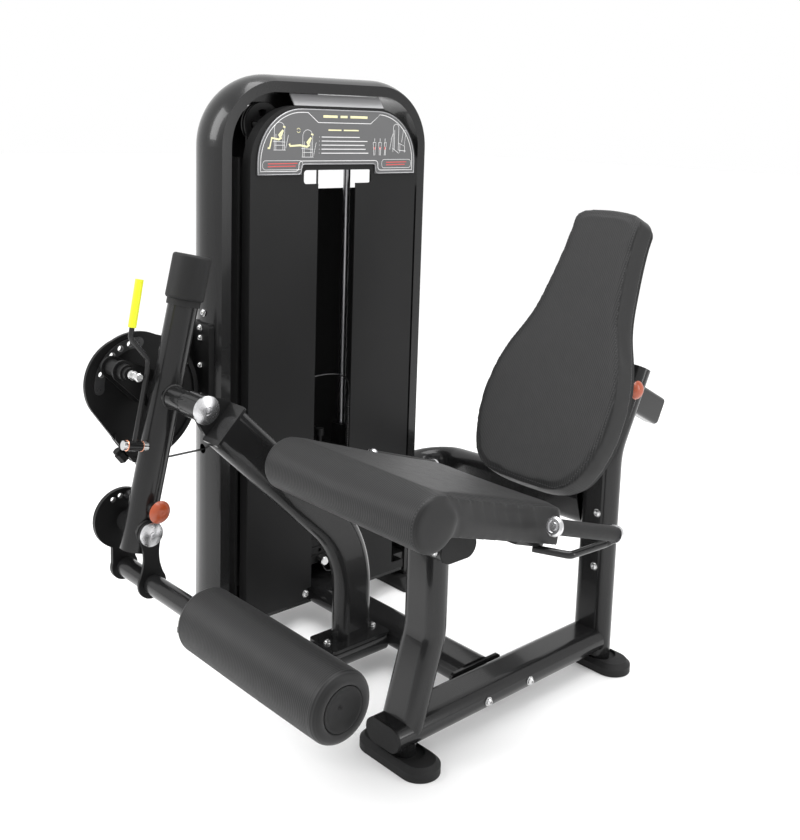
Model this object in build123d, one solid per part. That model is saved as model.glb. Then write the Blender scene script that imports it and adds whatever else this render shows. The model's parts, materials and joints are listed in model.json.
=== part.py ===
"""Leg extension machine: weight stack tower, seat frame, exercise lever and ankle roller.

Millimetres, +Z up. The person on the seat looks along -Y and the tower stands at -X.
The layout below is measured from the seat; ORIGIN moves it to the middle of the footprint.
"""

import os
from math import atan2, cos, hypot, radians, sin, tan

from build123d import *

ORIGIN = (-0.5, 12.5, 0.0)
WALL = 3.0

# Tower: an upside-down U with a crowned outer face
TOWER_X = -455.0
TOWER_WIDTH = 120.0
TOWER_LEFT_Y = -290.5
TOWER_RIGHT_Y = 344.5
TOWER_INNER_TOP = 1465.0
TOWER_STRIP = 28.0
TOWER_CROWN = 17.0
TOWER_BEND = 140.0
FOOT_HEIGHT = 31.0
CABLE_HOLE_Z = 545.0

# Shrouds and sign
SHROUD_FACE_X = -366.0
SHROUD_Y = (-255.0, 310.0)
SHROUD_BOTTOM = 76.0
SHROUD_TOP = 1432.0
SHROUD_BEND = 150.0
SLOT_Y = (-39.0, 89.0)
SIGN_Y = (-236.0, 300.0)
SIGN_Z = (1257.0, 1425.0)

# Weight stack
STACK_X = (-500.0, -412.0)
STACK_Y = 27.0
STACK_HALF = 135.0
PLATE_T = 25.0
PLATE_COUNT = 12
STACK_BOTTOM = 150.0
ROD_OFFSET = 105.0
ROD_R = 10.0
ROD_TOP = 1299.0
TOP_PLATE_T = 26.0

# Pulleys: centre (y, z), groove radius to the cable's centre
PULLEY_X = -455.0
TOP_PULLEYS = ((-161.0, 1383.0), (-18.0, 1368.0))
TOP_PULLEY_R = 45.0
LOW_PULLEY = (-236.0, 573.0)
LOW_PULLEY_R = 30.0
CABLE_R = 3.0

# Floor frame, flat-oval tube
TUBE_W = 108.0
TUBE_T = 58.0
FLOOR_Z = 75.0
CARRIAGE_PIN = -32.0
SEAT_X = 260.0
FRONT_LEG_Y = -208.0
UPRIGHT_Y = 418.0
UPRIGHT_W = 104.0
UPRIGHT_BEND_Z = 585.0
UPRIGHT_LEAN = 27.0
ARM_TILT = 46.0

# Seat and backrest
SEAT_TILT = 18.6
ROLL_Y = -428.0
ROLL_Z = 652.0
ROLL_R = 61.0
SEAT_REAR_Y = 17.0
SEAT_THICK = 85.0
BACK_LEAN = 25.5
BACK_FOOT = (74.0, 550.0)
BACK_THICK = 62.0
BACK_X = 258.0

# Knee axis and exercise lever
KNEE_Y = -529.0
KNEE_Z = 752.0
SHAFT_R = 15.0
LEVER_X = -310.0
LEVER_R = 36.0
LEVER_TILT = 12.84
LEVER_TOP = 312.0
KNEE_HUB_R = 27.0
CAM_X = -452.0
INDEX_R = 100.0
INDEX_HOME = 34.0
INDEX_PITCH = 15.0

# Lower pivot and ankle roller
ANKLE_Y = -599.5
ANKLE_Z = 440.0
ANKLE_PIN_R = 57.0
ANKLE_PITCH = 20.0
ROLLER_Y = -596.0
ROLLER_Z = 317.5
ROLLER_R = 73.0
ROLLER_X = (-38.0, 444.0)
BAR_R = 24.0


# Coiled lanyard of the stack's pin
COIL_X, COIL_Y = -398.0, 112.0
COIL_R = 9.25
COIL_Z = (330.0, 640.0)
LEAD_R = 2.0
LOW_LEAD = [
    (COIL_X, COIL_Y, 330), (COIL_X, COIL_Y - 1, 285), (COIL_X, COIL_Y + 1, 240),
    (COIL_X, COIL_Y - 2, 195), (COIL_X, COIL_Y - 14, 155), (COIL_X, COIL_Y - 38, 126),
    (COIL_X, STACK_Y + 18, 122), (COIL_X, STACK_Y + 3, 138), (COIL_X, STACK_Y, 148.6),
]
HIGH_LEAD = [
    (COIL_X, COIL_Y, 640), (COIL_X, COIL_Y - 3, 668), (COIL_X, COIL_Y - 22, 690),
    (COIL_X, COIL_Y - 52, 700), (COIL_X, COIL_Y - 92, 704), (COIL_X, COIL_Y - 132, 703),
    (COIL_X, -60, 697),
]


# Basic solids

def cyl_x(x0, x1, y, z, r):
    return Pos((x0 + x1) / 2, y, z) * Rot(0, 90, 0) * Cylinder(r, x1 - x0)


def cyl_y(y0, y1, x, z, r):
    return Pos(x, (y0 + y1) / 2, z) * Rot(90, 0, 0) * Cylinder(r, y1 - y0)


def cyl_z(z0, z1, x, y, r):
    return Pos(x, y, (z0 + z1) / 2) * Cylinder(r, z1 - z0)


def block(x, y, z):
    """A box from (low, high) pairs."""
    size = [b - a for a, b in (x, y, z)]
    return Pos(*[(a + b) / 2 for a, b in (x, y, z)]) * Box(*size)


def rod_between(p, q, r):
    """A round bar from p to q."""
    axis = Vector(q) - Vector(p)
    plane = Plane(origin=p, z_dir=axis)
    return extrude(plane * Circle(r), amount=axis.length)


def bent_rod(points, radius, bend):
    """A round bar along a polyline with rounded corners."""
    path = FilletPolyline(*points, radius=bend)
    return sweep(Plane(origin=path @ 0, z_dir=path % 0) * Circle(radius), path=path)


def yz_plate(face, x0, x1):
    """A flat plate from a sketch drawn as (y, z), between two x."""
    return extrude(Plane.YZ.offset(x0) * face, amount=x1 - x0)


def oval(width, thick):
    return SlotOverall(width, thick)


def oval_bar(points, bend, width, thick, x_dir, grow=0.0):
    """A solid flat-oval bar along a polyline: width runs along x_dir at its start."""
    path = FilletPolyline(*points, radius=bend) if bend else Line(*points)
    plane = Plane(origin=path @ 0, x_dir=x_dir, z_dir=path % 0)
    return sweep(plane * oval(width + 2 * grow, thick + 2 * grow), path=path)


def oval_tube(points, bend, width, thick, x_dir):
    """The same bar with a hollow core."""
    outer = oval_bar(points, bend, width, thick, x_dir)
    return outer - oval_bar(points, bend, width, thick, x_dir, -WALL)


def hex_bolt(p, axis, r, head, shank):
    """A domed button-head bolt: p on the seat of the head, axis pointing out."""
    plane = Plane(origin=p, z_dir=axis)
    washer = extrude(plane * Circle(r * 2.1), amount=2)
    dome = extrude(plane.offset(2) * Circle(r * 1.7), amount=head)
    dome = chamfer(dome.edges().sort_by(Axis(p, axis))[-1], head * 0.45)
    socket = extrude(plane.offset(2 + head * 0.5) * RegularPolygon(r * 0.8, 6), amount=head)
    stem = extrude(plane * Circle(r), amount=-shank) if shank else None
    bolt = washer + dome - socket
    return bolt + stem if stem else bolt


def lever_point(along, out=0.0, x=LEVER_X):
    """A point on the lever's line: along it above the knee, and out to its front."""
    t = radians(LEVER_TILT)
    y = KNEE_Y + along * sin(t) - out * cos(t)
    z = KNEE_Z + along * cos(t) + out * sin(t)
    return (x, y, z)


def seat_point(y, down=0.0):
    """A point (y, z) on the seat's top line, moved down square to it."""
    t = radians(SEAT_TILT)
    z = 573.0 + (SEAT_REAR_Y - y) * tan(t)
    return (y - down * sin(t), z - down * cos(t))


def seat_low_ends():
    """Front and rear end (y, z) of the cushion's underside."""
    return (ROLL_Y + 46, ROLL_Z - 38), seat_point(SEAT_REAR_Y, SEAT_THICK)


def seat_low_tilt():
    (y0, z0), (y1, z1) = seat_low_ends()
    return atan2(z0 - z1, y1 - y0)


def seat_low_point(y, down=0.0):
    """A point (y, z) on the cushion's underside, moved down square to it."""
    (y0, z0), _ = seat_low_ends()
    t = seat_low_tilt()
    return (y - down * sin(t), z0 - (y - y0) * tan(t) - down * cos(t))


def back_point(up, out=0.0):
    """A point (y, z) on the backrest's front line, moved out to the front."""
    t = radians(BACK_LEAN)
    return (BACK_FOOT[0] + up * sin(t) - out * cos(t), BACK_FOOT[1] + up * cos(t) + out * sin(t))


def carriage_point(along, up=0.0):
    """A point (y, z) on the backrest carriage's line, along it to the rear."""
    t = radians(UPRIGHT_LEAN)
    return (462.0 + along * cos(t) + up * sin(t), 737.0 - along * sin(t) + up * cos(t))


# Tower

def tower_path():
    low = FOOT_HEIGHT
    return FilletPolyline(
        (TOWER_X, TOWER_LEFT_Y, low),
        (TOWER_X, TOWER_LEFT_Y, TOWER_INNER_TOP),
        (TOWER_X, TOWER_RIGHT_Y, TOWER_INNER_TOP),
        (TOWER_X, TOWER_RIGHT_Y, low),
        radius=TOWER_BEND,
    )


def tower_section(inset):
    half = TOWER_WIDTH / 2 - inset
    strip = TOWER_STRIP
    crown = TOWER_STRIP + TOWER_CROWN - inset
    outline = [
        Line((-half, inset), (half, inset)),
        Line((half, inset), (half, strip)),
        ThreePointArc((half, strip), (0, crown), (-half, strip)),
        Line((-half, strip), (-half, inset)),
    ]
    return make_face(Wire(outline))


def tower_bar(inset=0.0):
    path = tower_path()
    plane = Plane(origin=path @ 0, x_dir=(-1, 0, 0), z_dir=(0, 0, 1))
    return sweep(plane * tower_section(inset), path=path)


def tower_frame():
    tube = tower_bar() - tower_bar(WALL)
    hole = cyl_y(TOWER_LEFT_Y - 60, TOWER_LEFT_Y + 10, TOWER_X, CABLE_HOLE_Z, 13)
    return tube - hole


def tower_feet():
    feet = []
    for y in (-301.0, 355.0):
        low = Plane.XY * Pos(TOWER_X, y) * RectangleRounded(220, 100, 12)
        mid = Plane.XY.offset(12) * Pos(TOWER_X, y) * RectangleRounded(220, 100, 12)
        high = Plane.XY.offset(FOOT_HEIGHT) * Pos(TOWER_X, y) * RectangleRounded(150, 74, 10)
        feet.append(extrude(low, amount=12) + loft([mid.face(), high.face()]))
    return feet


def tower_cross_tube():
    """The flat tube low between the legs, with the rail plate's holes."""
    y = (TOWER_LEFT_Y, TOWER_RIGHT_Y)
    outer = block((-509, -401), y, (46, 104))
    return outer - block((-509 + WALL, -401 - WALL), y, (46 + WALL, 104 - WALL))


# Shrouds

def arch_face(y0, y1, z0, z1, bend):
    """A (y, z) face with two rounded top corners."""
    outline = [
        Line((y0, z0), (y1, z0)),
        Line((y1, z0), (y1, z1 - bend)),
        RadiusArc((y1, z1 - bend), (y1 - bend, z1), -bend),
        Line((y1 - bend, z1), (y0 + bend, z1)),
        RadiusArc((y0 + bend, z1), (y0, z1 - bend), -bend),
        Line((y0, z1 - bend), (y0, z0)),
    ]
    return make_face(Wire(outline))


def shroud_lip():
    """Sloped strip from the front cover's top edge up to just under the tower's top tube."""
    section = make_face(Polyline(
        (-397, 1429.5), (-397, 1431.5), (-401, 1431.5), (-424, 1463.5), (-428, 1463.5),
        (-402.5, 1429.5), close=True))
    return extrude(Plane.XZ.offset(-216) * section, amount=309)


def front_shroud():
    y0, y1 = SHROUD_Y
    outer = yz_plate(arch_face(y0, y1, SHROUD_BOTTOM, SHROUD_TOP, SHROUD_BEND), -400, SHROUD_FACE_X)
    inner_face = arch_face(y0 + 3, y1 - 3, SHROUD_BOTTOM - 9, SHROUD_TOP - 3, SHROUD_BEND - 3)
    inner = yz_plate(inner_face, -410, SHROUD_FACE_X - 3)
    slot = Pos((SLOT_Y[0] + SLOT_Y[1]) / 2, 655) * Rectangle(SLOT_Y[1] - SLOT_Y[0], 1166)
    window = Pos(28.5, 1250) * RectangleRounded(231, 36, 9)
    corner = Pos(292, 133) * Rectangle(56, 66)
    notch = Pos(SLOT_Y[0] - 5, 93) * Rectangle(14, 35)
    cut = yz_plate(slot + window + corner + notch, -420, SHROUD_FACE_X + 5)
    tabs = [cyl_x(-400, -368, y, z, 7) for y in (y0 + 8, y1 - 8) for z in (300.0, 1150.0)]
    clip = block((-404, -368), (-74, -60), (688, 706))
    return outer - inner - cut + tabs + clip + shroud_lip()


def rear_shroud():
    """Rear cover, and the textured wall that closes the tower's left side."""
    y0, y1 = SHROUD_Y
    outer = yz_plate(arch_face(y0, y1, SHROUD_BOTTOM, SHROUD_TOP, SHROUD_BEND), -552, -515)
    inner_face = arch_face(y0 + 3, y1 - 3, SHROUD_BOTTOM - 9, SHROUD_TOP - 3, SHROUD_BEND - 3)
    inner = yz_plate(inner_face, -549, -505)
    window = Pos(130, 1247) * RectangleRounded(340, 86, 12)
    side = block((-512, -401), (-268, -262), (SHROUD_BOTTOM + 30, 1300))
    side -= block((-488, -422), (-270, -260), (LOW_PULLEY[1] - 55, LOW_PULLEY[1] + 55))
    return [outer - inner - yz_plate(window, -560, -500), side]


def placard():
    y0, y1 = SIGN_Y
    z0, z1 = SIGN_Z
    plate = arch_face(y0, y1, z0, z1, 138)
    notch = Pos(28.5, z0 + 5) * RectangleRounded(252, 46, 10)
    return yz_plate(plate - notch, SHROUD_FACE_X + 0.1, SHROUD_FACE_X + 4)


# Weight stack

def guide_rods():
    return [cyl_z(104, ROD_TOP, PULLEY_X, STACK_Y + s * ROD_OFFSET, ROD_R) for s in (-1, 1)]


def stack_bumpers():
    rubber = []
    for side in (-1, 1):
        y = STACK_Y + side * ROD_OFFSET
        ring = cyl_z(104, STACK_BOTTOM - 0.4, PULLEY_X, y, 24)
        rubber.append(ring - cyl_z(100, 160, PULLEY_X, y, ROD_R))
    return rubber


def rod_bores(z0, z1):
    return [cyl_z(z0, z1, PULLEY_X, STACK_Y + s * ROD_OFFSET, ROD_R + 1) for s in (-1, 1)]


def weight_plates():
    plates = []
    for i in range(PLATE_COUNT):
        z = STACK_BOTTOM + i * PLATE_T
        y = (STACK_Y - STACK_HALF, STACK_Y + STACK_HALF)
        plate = block(STACK_X, y, (z, z + PLATE_T - 0.6))
        plate = chamfer(plate.edges().filter_by(Axis.Y), 2)
        pin = cyl_x(STACK_X[0] + 20, STACK_X[1] + 10, STACK_Y, z + PLATE_T / 2 - 0.3, 5.5)
        stem = cyl_z(z - 5, z + 40, PULLEY_X, STACK_Y, 13)
        plates.append(plate - rod_bores(z - 5, z + 40) - pin - stem)
    return plates


def stack_top_plate():
    """Top plate with its selector stem, two bushes and the cable eye."""
    z = STACK_BOTTOM + PLATE_COUNT * PLATE_T
    y = (STACK_Y - STACK_HALF, STACK_Y + STACK_HALF)
    top = chamfer(block(STACK_X, y, (z, z + TOP_PLATE_T)).edges().filter_by(Axis.Y), 3)
    bushes = []
    for y_rod in (STACK_Y - ROD_OFFSET, STACK_Y + ROD_OFFSET):
        high = (z + TOP_PLATE_T, z + TOP_PLATE_T + 58)
        bushes.append(block((PULLEY_X - 20, PULLEY_X + 20), (y_rod - 19, y_rod + 19), high))
    stem = cyl_z(STACK_BOTTOM + 4, z, PULLEY_X, STACK_Y, 12)
    stem -= [
        cyl_x(STACK_X[0] + 20, STACK_X[1], STACK_Y, STACK_BOTTOM + i * PLATE_T + PLATE_T / 2 - 0.3, 5.6)
        for i in range(PLATE_COUNT)
    ]
    eye = cyl_z(z + TOP_PLATE_T, z + TOP_PLATE_T + 40, PULLEY_X, STACK_Y, 11)
    eye += cyl_z(z + TOP_PLATE_T + 40, z + TOP_PLATE_T + 66, PULLEY_X, STACK_Y, 8)
    stud = cyl_z(z + TOP_PLATE_T, z + TOP_PLATE_T + 46, STACK_X[1] - 14, STACK_Y + 3, 7)
    stud += cyl_z(z + TOP_PLATE_T + 46, z + TOP_PLATE_T + 66, STACK_X[1] - 14, STACK_Y + 3, 12)
    body = top + bushes + stem + eye + stud
    return body - rod_bores(z - 5, z + 100)


def stack_pin():
    z = STACK_BOTTOM + PLATE_T / 2 - 0.3
    shank = cyl_x(STACK_X[0] + 30, STACK_X[1] + 1, STACK_Y, z, 5)
    head = cyl_x(STACK_X[1] + 1, STACK_X[1] + 27, STACK_Y, z, 13)
    return shank + chamfer(head.edges().filter_by(GeomType.CIRCLE), 2)


# Pulleys and cable

def pulley(centre, groove, width=20.0):
    y, z = centre
    rim = groove - CABLE_R + 15
    wheel = cyl_x(PULLEY_X - width / 2, PULLEY_X + width / 2, y, z, rim)
    wheel = chamfer(wheel.edges().filter_by(GeomType.CIRCLE), 1.5)
    ring = Pos(PULLEY_X, y, z) * Rot(0, 90, 0) * Torus(groove, CABLE_R + 0.4)
    wall = cyl_x(PULLEY_X - 3.4, PULLEY_X + 3.4, y, z, rim + 2)
    wall -= cyl_x(PULLEY_X - 4, PULLEY_X + 4, y, z, groove)
    wheel = wheel - ring - wall - cyl_x(PULLEY_X - 20, PULLEY_X + 20, y, z, 8.05)
    return wheel - pulley_windows(y, z, groove * 0.45, groove * 0.84)


def pulley_windows(y, z, r_in, r_out):
    """Four wedge-shaped windows between a pulley's spokes."""
    ring = cyl_x(PULLEY_X - 20, PULLEY_X + 20, y, z, r_out)
    ring -= cyl_x(PULLEY_X - 21, PULLEY_X + 21, y, z, r_in)
    windows = []
    for i in range(4):
        a, b = radians(90 * i - 14), radians(90 * i + 26)
        reach = 2 * r_out
        ends = [(y + reach * cos(t), z + reach * sin(t)) for t in (a, b)]
        wedge = make_face(Polyline((y, z), *ends, close=True))
        windows.append(ring & yz_plate(wedge, PULLEY_X - 19, PULLEY_X + 19))
    return windows


def pulley_axles():
    """Bolts through the cheek plates, one for each pulley."""
    axles = []
    for (y, z), near in zip((*TOP_PULLEYS, LOW_PULLEY), (11, 23, 23)):
        axle = cyl_x(PULLEY_X - 23, PULLEY_X + near, y, z, 8)
        heads = cyl_x(PULLEY_X + near, PULLEY_X + near + 8, y, z, 13)
        heads += cyl_x(PULLEY_X - 31, PULLEY_X - 23, y, z, 13)
        axles.append(axle + heads)
    return axles


def pulley_brackets():
    """Cheek plates for the top and low pulleys, and the plate that steadies the guide rods."""
    cheeks = []
    for x0, x1 in ((-478.0, -472.0), (-438.0, -432.0)):
        (ya, za), (yb, zb) = TOP_PULLEYS
        first = ya - 24 if x0 < PULLEY_X else ya + 81
        top = block((x0, x1), (first, yb + 24), (zb - 24, TOWER_INNER_TOP))
        top -= [cyl_x(x0 - 1, x1 + 1, y, z, 8) for y, z in TOP_PULLEYS]
        cheeks.append(top - tower_bar())
        y, z = LOW_PULLEY
        low = block((x0, x1), (TOWER_LEFT_Y, y + 20), (z - 22, z + 22))
        cheeks.append(low - cyl_x(x0 - 1, x1 + 1, y, z, 8))
    shelf = block((-490, -420), (-120, TOWER_RIGHT_Y), (ROD_TOP, ROD_TOP + 8))
    return [*cheeks, shelf - cyl_z(ROD_TOP - 1, ROD_TOP + 10, PULLEY_X, STACK_Y, 12)]


def stack_cable():
    """The straight run from the rear top pulley down to the stack's eye."""
    y, z = TOP_PULLEYS[1]
    return cyl_z(STACK_BOTTOM + PLATE_COUNT * PLATE_T + 92.4, z, PULLEY_X, y + TOP_PULLEY_R, CABLE_R - 0.2)


def drive_cable():
    """From the cam's foot, through the left leg, up and over the top pulleys."""
    y_cam = KNEE_Y
    low_y, low_z = LOW_PULLEY
    (ya, za), (yb, zb) = TOP_PULLEYS
    run = Vector(yb - ya, zb - za).normalized() * TOP_PULLEY_R
    dy, dz = -run.Y, run.X
    edges = [
        Line((y_cam, low_z - LOW_PULLEY_R), (low_y, low_z - LOW_PULLEY_R)),
        RadiusArc((low_y, low_z - LOW_PULLEY_R), (low_y + LOW_PULLEY_R, low_z), -LOW_PULLEY_R),
        Line((low_y + LOW_PULLEY_R, low_z), (ya - TOP_PULLEY_R, za)),
        RadiusArc((ya - TOP_PULLEY_R, za), (ya + dy, za + dz), TOP_PULLEY_R),
        Line((ya + dy, za + dz), (yb + dy, zb + dz)),
        RadiusArc((yb + dy, zb + dz), (yb + TOP_PULLEY_R, zb), TOP_PULLEY_R),
    ]
    plane = Plane.YZ.offset(PULLEY_X)
    path = Wire([plane * e for e in edges])
    return sweep(Plane(origin=path @ 0, z_dir=path % 0) * Circle(CABLE_R - 0.2), path=path)


# Floor frame

def base_rail():
    """Rail from the tower to the seat frame, its bolted flange plate, and the arm's stub tube."""
    z = FLOOR_Z
    tube = oval_tube([(-401, 27, z), (198, 27, z)], 0, TUBE_W, TUBE_T, (0, 1, 0))
    plate = yz_plate(Pos(27, FLOOR_Z) * RectangleRounded(172, 48, 12), 198, 206)
    plated = tube + plate - [cyl_x(190, 210, 27 + s * 73.5, FLOOR_Z, 5.5) for s in (-1, 1)]
    return [plated, base_stub_tube()]


def floor_tube_bar(grow=0.0):
    ends = [(SEAT_X, -323, FLOOR_Z), (SEAT_X, 396, FLOOR_Z)]
    return oval_bar(ends, 0, TUBE_W, TUBE_T, (1, 0, 0), grow)


def seat_floor_tube():
    tube = floor_tube_bar() - floor_tube_bar(-WALL)
    tube -= [cyl_x(200, 320, 27 + s * 73.5, FLOOR_Z, 5.5) for s in (-1, 1)]
    return tube + (foot_posts(0.0) - floor_tube_bar())


def foot_posts(grow):
    post = [(SEAT_X, -275, 14), (SEAT_X, -275, FLOOR_Z)]
    return oval_bar(post, 0, 84, 50, (1, 0, 0), grow)


def floor_feet():
    """Two rubber feet with a recessed socket round each post."""
    feet = []
    sockets = (foot_posts(0.0), upright_bar())
    for y, post in zip((-275.0, 422.0), sockets):
        outline = Pos(SEAT_X, y) * SlotOverall(222, 96)
        foot = extrude(outline, amount=30)
        foot = chamfer(foot.edges().group_by(Axis.Z)[-1], 11)
        recess = extrude(Plane.XY.offset(22) * Pos(SEAT_X, y) * SlotOverall(132, 76), amount=10)
        feet.append(foot - recess - post)
    return feet


def tube_end_caps():
    """Black plugs on the floor tube's front end and the stub tube's end."""
    caps = []
    plane = Plane(origin=(SEAT_X, -323, FLOOR_Z), x_dir=(1, 0, 0), z_dir=(0, -1, 0))
    caps.append(extrude(plane * oval(TUBE_W, TUBE_T), amount=6))
    rear = Plane(origin=(-108, -260, 67), x_dir=(1, 0, 0), z_dir=(0, -1, 0))
    caps.append(extrude(rear * oval(108, 50), amount=5))
    top = Plane(origin=(-30, -194, 497), x_dir=(0, 1, 0), z_dir=(-1, 0, 0))
    caps.append(extrude(top * oval(TUBE_W, TUBE_T), amount=5))
    top = Plane(origin=(336, -194, 497), x_dir=(0, 1, 0), z_dir=(1, 0, 0))
    caps.append(extrude(top * oval(TUBE_W, TUBE_T), amount=5))
    return caps


def base_stub_tube():
    z = 67
    path = [(-108, -260, z), (-108, -27, z)]
    return oval_tube(path, 0, 108, 50, (1, 0, 0)) - base_rail_bar()


def base_rail_bar():
    return oval_bar([(-401, 27, FLOOR_Z), (198, 27, FLOOR_Z)], 0, TUBE_W, TUBE_T, (0, 1, 0))


# Support arm

def arm_path():
    t = radians(ARM_TILT)
    reach = 560.0
    return [(-108, -112, 100), (-108, -112, 344), (-108, -112 - reach * sin(t), 344 + reach * cos(t))]


def arm_end_plane(offset=0.0):
    t = radians(ARM_TILT)
    return Plane(origin=(-108, -495.5, 717.6), x_dir=(1, 0, 0), z_dir=(0, -sin(t), cos(t))).offset(offset)


def support_arm():
    """Bent flat-oval tube from the floor to the knee pivot, with its foot and end plates."""
    bar = oval_bar(arm_path(), 290, TUBE_W, 56, (0, 1, 0))
    core = oval_bar(arm_path(), 290, TUBE_W, 56, (0, 1, 0), -WALL)
    trim = extrude(arm_end_plane() * Rectangle(300, 300), amount=400)
    foot = extrude(Plane.XY.offset(92) * Pos(-104, -116.5) * RectangleRounded(104, 187, 10), amount=8)
    foot -= [cyl_z(80, 110, -102, y, 5.5) for y in (-192, -43)]
    end = extrude(arm_end_plane() * RectangleRounded(62, 106, 6), amount=7)
    return largest(bar - core - trim) + foot + end


def arm_hub():
    """Fixed hub on the knee axis with the web plate down to the arm's end plate."""
    hub = cyl_x(-200, -136, KNEE_Y, KNEE_Z, 30)
    end_low = (-532.0 + 4, 682.5 + 7)
    end_high = (-459.0 + 1, 752.7 + 8)
    web = make_face(Wire(Polyline(
        (KNEE_Y - 30, KNEE_Z - 8), end_low, end_high, (KNEE_Y + 12, KNEE_Z + 29), close=True)))
    web = yz_plate(web, -148, -136)
    web = web - extrude(arm_end_plane(7) * Rectangle(300, 300), amount=-200)
    hub = hub + web
    return hub - cyl_x(-210, -130, KNEE_Y, KNEE_Z, SHAFT_R)


def domed_cap(x, y, z, r, height):
    """A silver domed cap that faces +X, with a small socket."""
    rise = height * 0.55
    edge = height - rise
    outline = [
        Line((0, 0), (0, height)),
        ThreePointArc((0, height), (r * 0.55, edge + rise * 0.68), (r, edge)),
        Line((r, edge), (r, 0)),
        Line((r, 0), (0, 0)),
    ]
    dome = revolve(make_face(Wire(outline)), axis=Axis.Y)
    cap = Pos(x, y, z) * Rot(0, 0, -90) * dome
    ring = cyl_x(x + height * 0.72, x + height + 2, y, z, r * 0.3)
    ring -= cyl_x(x, x + 2 * height, y, z, r * 0.24)
    return cap - ring - cyl_x(x + height * 0.6, x + height + 5, y, z, r * 0.12)


def knee_shaft():
    """Fixed shaft on the knee axis, with a domed silver cap at its near end."""
    shaft = cyl_x(-506, -136, KNEE_Y, KNEE_Z, SHAFT_R)
    return shaft + domed_cap(-136, KNEE_Y, KNEE_Z, 33, 11)


def knee_bearing_bracket():
    """Plate on the tower's left leg with the arm that holds the shaft's far end."""
    plate = block((-515, -414), (-343.5, -318), (655, 878))
    plate = fillet(plate.edges().filter_by(Axis.Y), 8)
    arm_face = make_face(Wire(Polyline(
        (-343.5, 870), (KNEE_Y - 4, KNEE_Z + 38), (KNEE_Y - 4, KNEE_Z - 38), (-343.5, 670), close=True)))
    arm = yz_plate(arm_face, -500, -488)
    boss = cyl_x(-503, -474, KNEE_Y, KNEE_Z, 36)
    bracket = plate - tower_bar() + arm + boss
    return bracket - cyl_x(-520, -460, KNEE_Y, KNEE_Z, SHAFT_R)


# Seat frame

def front_leg_bar(grow=0.0):
    points = [(SEAT_X, -208, 480), (SEAT_X, -208, 286), (SEAT_X, -276, 60)]
    return oval_bar(points, 150, TUBE_W, TUBE_T, (1, 0, 0), grow)


def seat_cross_bar(grow=0.0, end=336.0):
    return oval_bar([(-30, -194, 497), (end, -194, 497)], 0, TUBE_W, TUBE_T, (0, 1, 0), grow)


def largest(shape):
    """The main solid of a cut shape, without the slivers that fall off beside a rounded tube."""
    return shape.solids().sort_by(SortBy.VOLUME)[-1]


def front_leg_tube():
    return largest(front_leg_bar() - front_leg_bar(-WALL) - floor_tube_bar() - seat_cross_bar())


def seat_cross_tube():
    return seat_cross_bar() - seat_cross_bar(-WALL)


def upright_bar(grow=0.0):
    t = radians(UPRIGHT_LEAN)
    reach = 226.0
    top = (SEAT_X, UPRIGHT_Y + reach * sin(t), UPRIGHT_BEND_Z + reach * cos(t))
    points = [(SEAT_X, UPRIGHT_Y, 14), (SEAT_X, UPRIGHT_Y, UPRIGHT_BEND_Z), top]
    return oval_bar(points, 150, UPRIGHT_W, TUBE_T, (1, 0, 0), grow)


def carriage_bar(grow=0.0, start=-240.0, end=190.0):
    y, z = carriage_point(start)
    t = radians(UPRIGHT_LEAN)
    plane = Plane(origin=(SEAT_X, y, z), x_dir=(1, 0, 0), z_dir=(0, cos(t), -sin(t)))
    return extrude(plane * RectangleRounded(50 + 2 * grow, 75 + 2 * grow, 12 + grow), amount=end - start)


def rear_upright():
    tube = upright_bar() - upright_bar(-WALL) - floor_tube_bar()
    sleeve = carriage_bar(4.3, -54, 64) + tube
    y, z = carriage_point(CARRIAGE_PIN)
    collar = cyl_x(SEAT_X + 26, SEAT_X + 66, y, z, 16)
    return sleeve + collar - carriage_bar(0.3, -300, 300) - cyl_x(SEAT_X + 10, SEAT_X + 80, y, z, 7.1)


def link_bar(grow=0.0):
    points = [(-440, 385, 342), (-440, 530, 349), (215, 418, 419)]
    return oval_bar(points, 95, TUBE_W, TUBE_T, (0, 0, 1), grow)


def link_tube():
    return link_bar() - link_bar(-WALL) - tower_bar() - upright_bar()


# Seat pad and handles

def seat_side_face():
    """Side outline (y, z) of the seat pad: a flat wedge that ends in the front roll."""
    t = radians(SEAT_TILT)
    rear_top = seat_point(SEAT_REAR_Y)
    top_front = (ROLL_Y + ROLL_R * sin(t), ROLL_Z + ROLL_R * cos(t))
    corners = [rear_top, top_front, (ROLL_Y, ROLL_Z), *seat_low_ends()]
    return make_face(Wire(Polyline(*corners, close=True)))


def seat_pad():
    """One closed cushion: front roll, and a slab that narrows to the rear."""
    roll = cyl_x(SEAT_X - 243, SEAT_X + 243, ROLL_Y, ROLL_Z, ROLL_R)
    roll = fillet(roll.edges().filter_by(GeomType.CIRCLE), 14)
    slab = yz_plate(seat_side_face(), SEAT_X - 243, SEAT_X + 243)
    plan = make_face(Wire([
        Line((-240, -460), (240, -460)),
        Line((240, -460), (240, -395)),
        Spline((240, -395), (228, -290), (213, -150), (205, -13)),
        RadiusArc((205, -13), (175, 17), -30),
        Line((175, 17), (-175, 17)),
        RadiusArc((-175, 17), (-205, -13), -30),
        Spline((-205, -13), (-213, -150), (-228, -290), (-240, -395)),
        Line((-240, -395), (-240, -460)),
    ]))
    footprint = extrude(Plane.XY.offset(400) * Pos(SEAT_X, 0) * plan, amount=400)
    return roll + (slab & footprint)


def seat_board():
    """Plywood board under the cushion, on the cross tube."""
    t = seat_low_tilt()
    y, z = seat_low_point(-185, 0.4)
    plane = Plane(origin=(SEAT_X, y, z), x_dir=(1, 0, 0), z_dir=(0, sin(t), cos(t)))
    board = extrude(plane * RectangleRounded(222, 330, 20), amount=-20)
    return board - seat_cross_bar(end=400.0)


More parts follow.
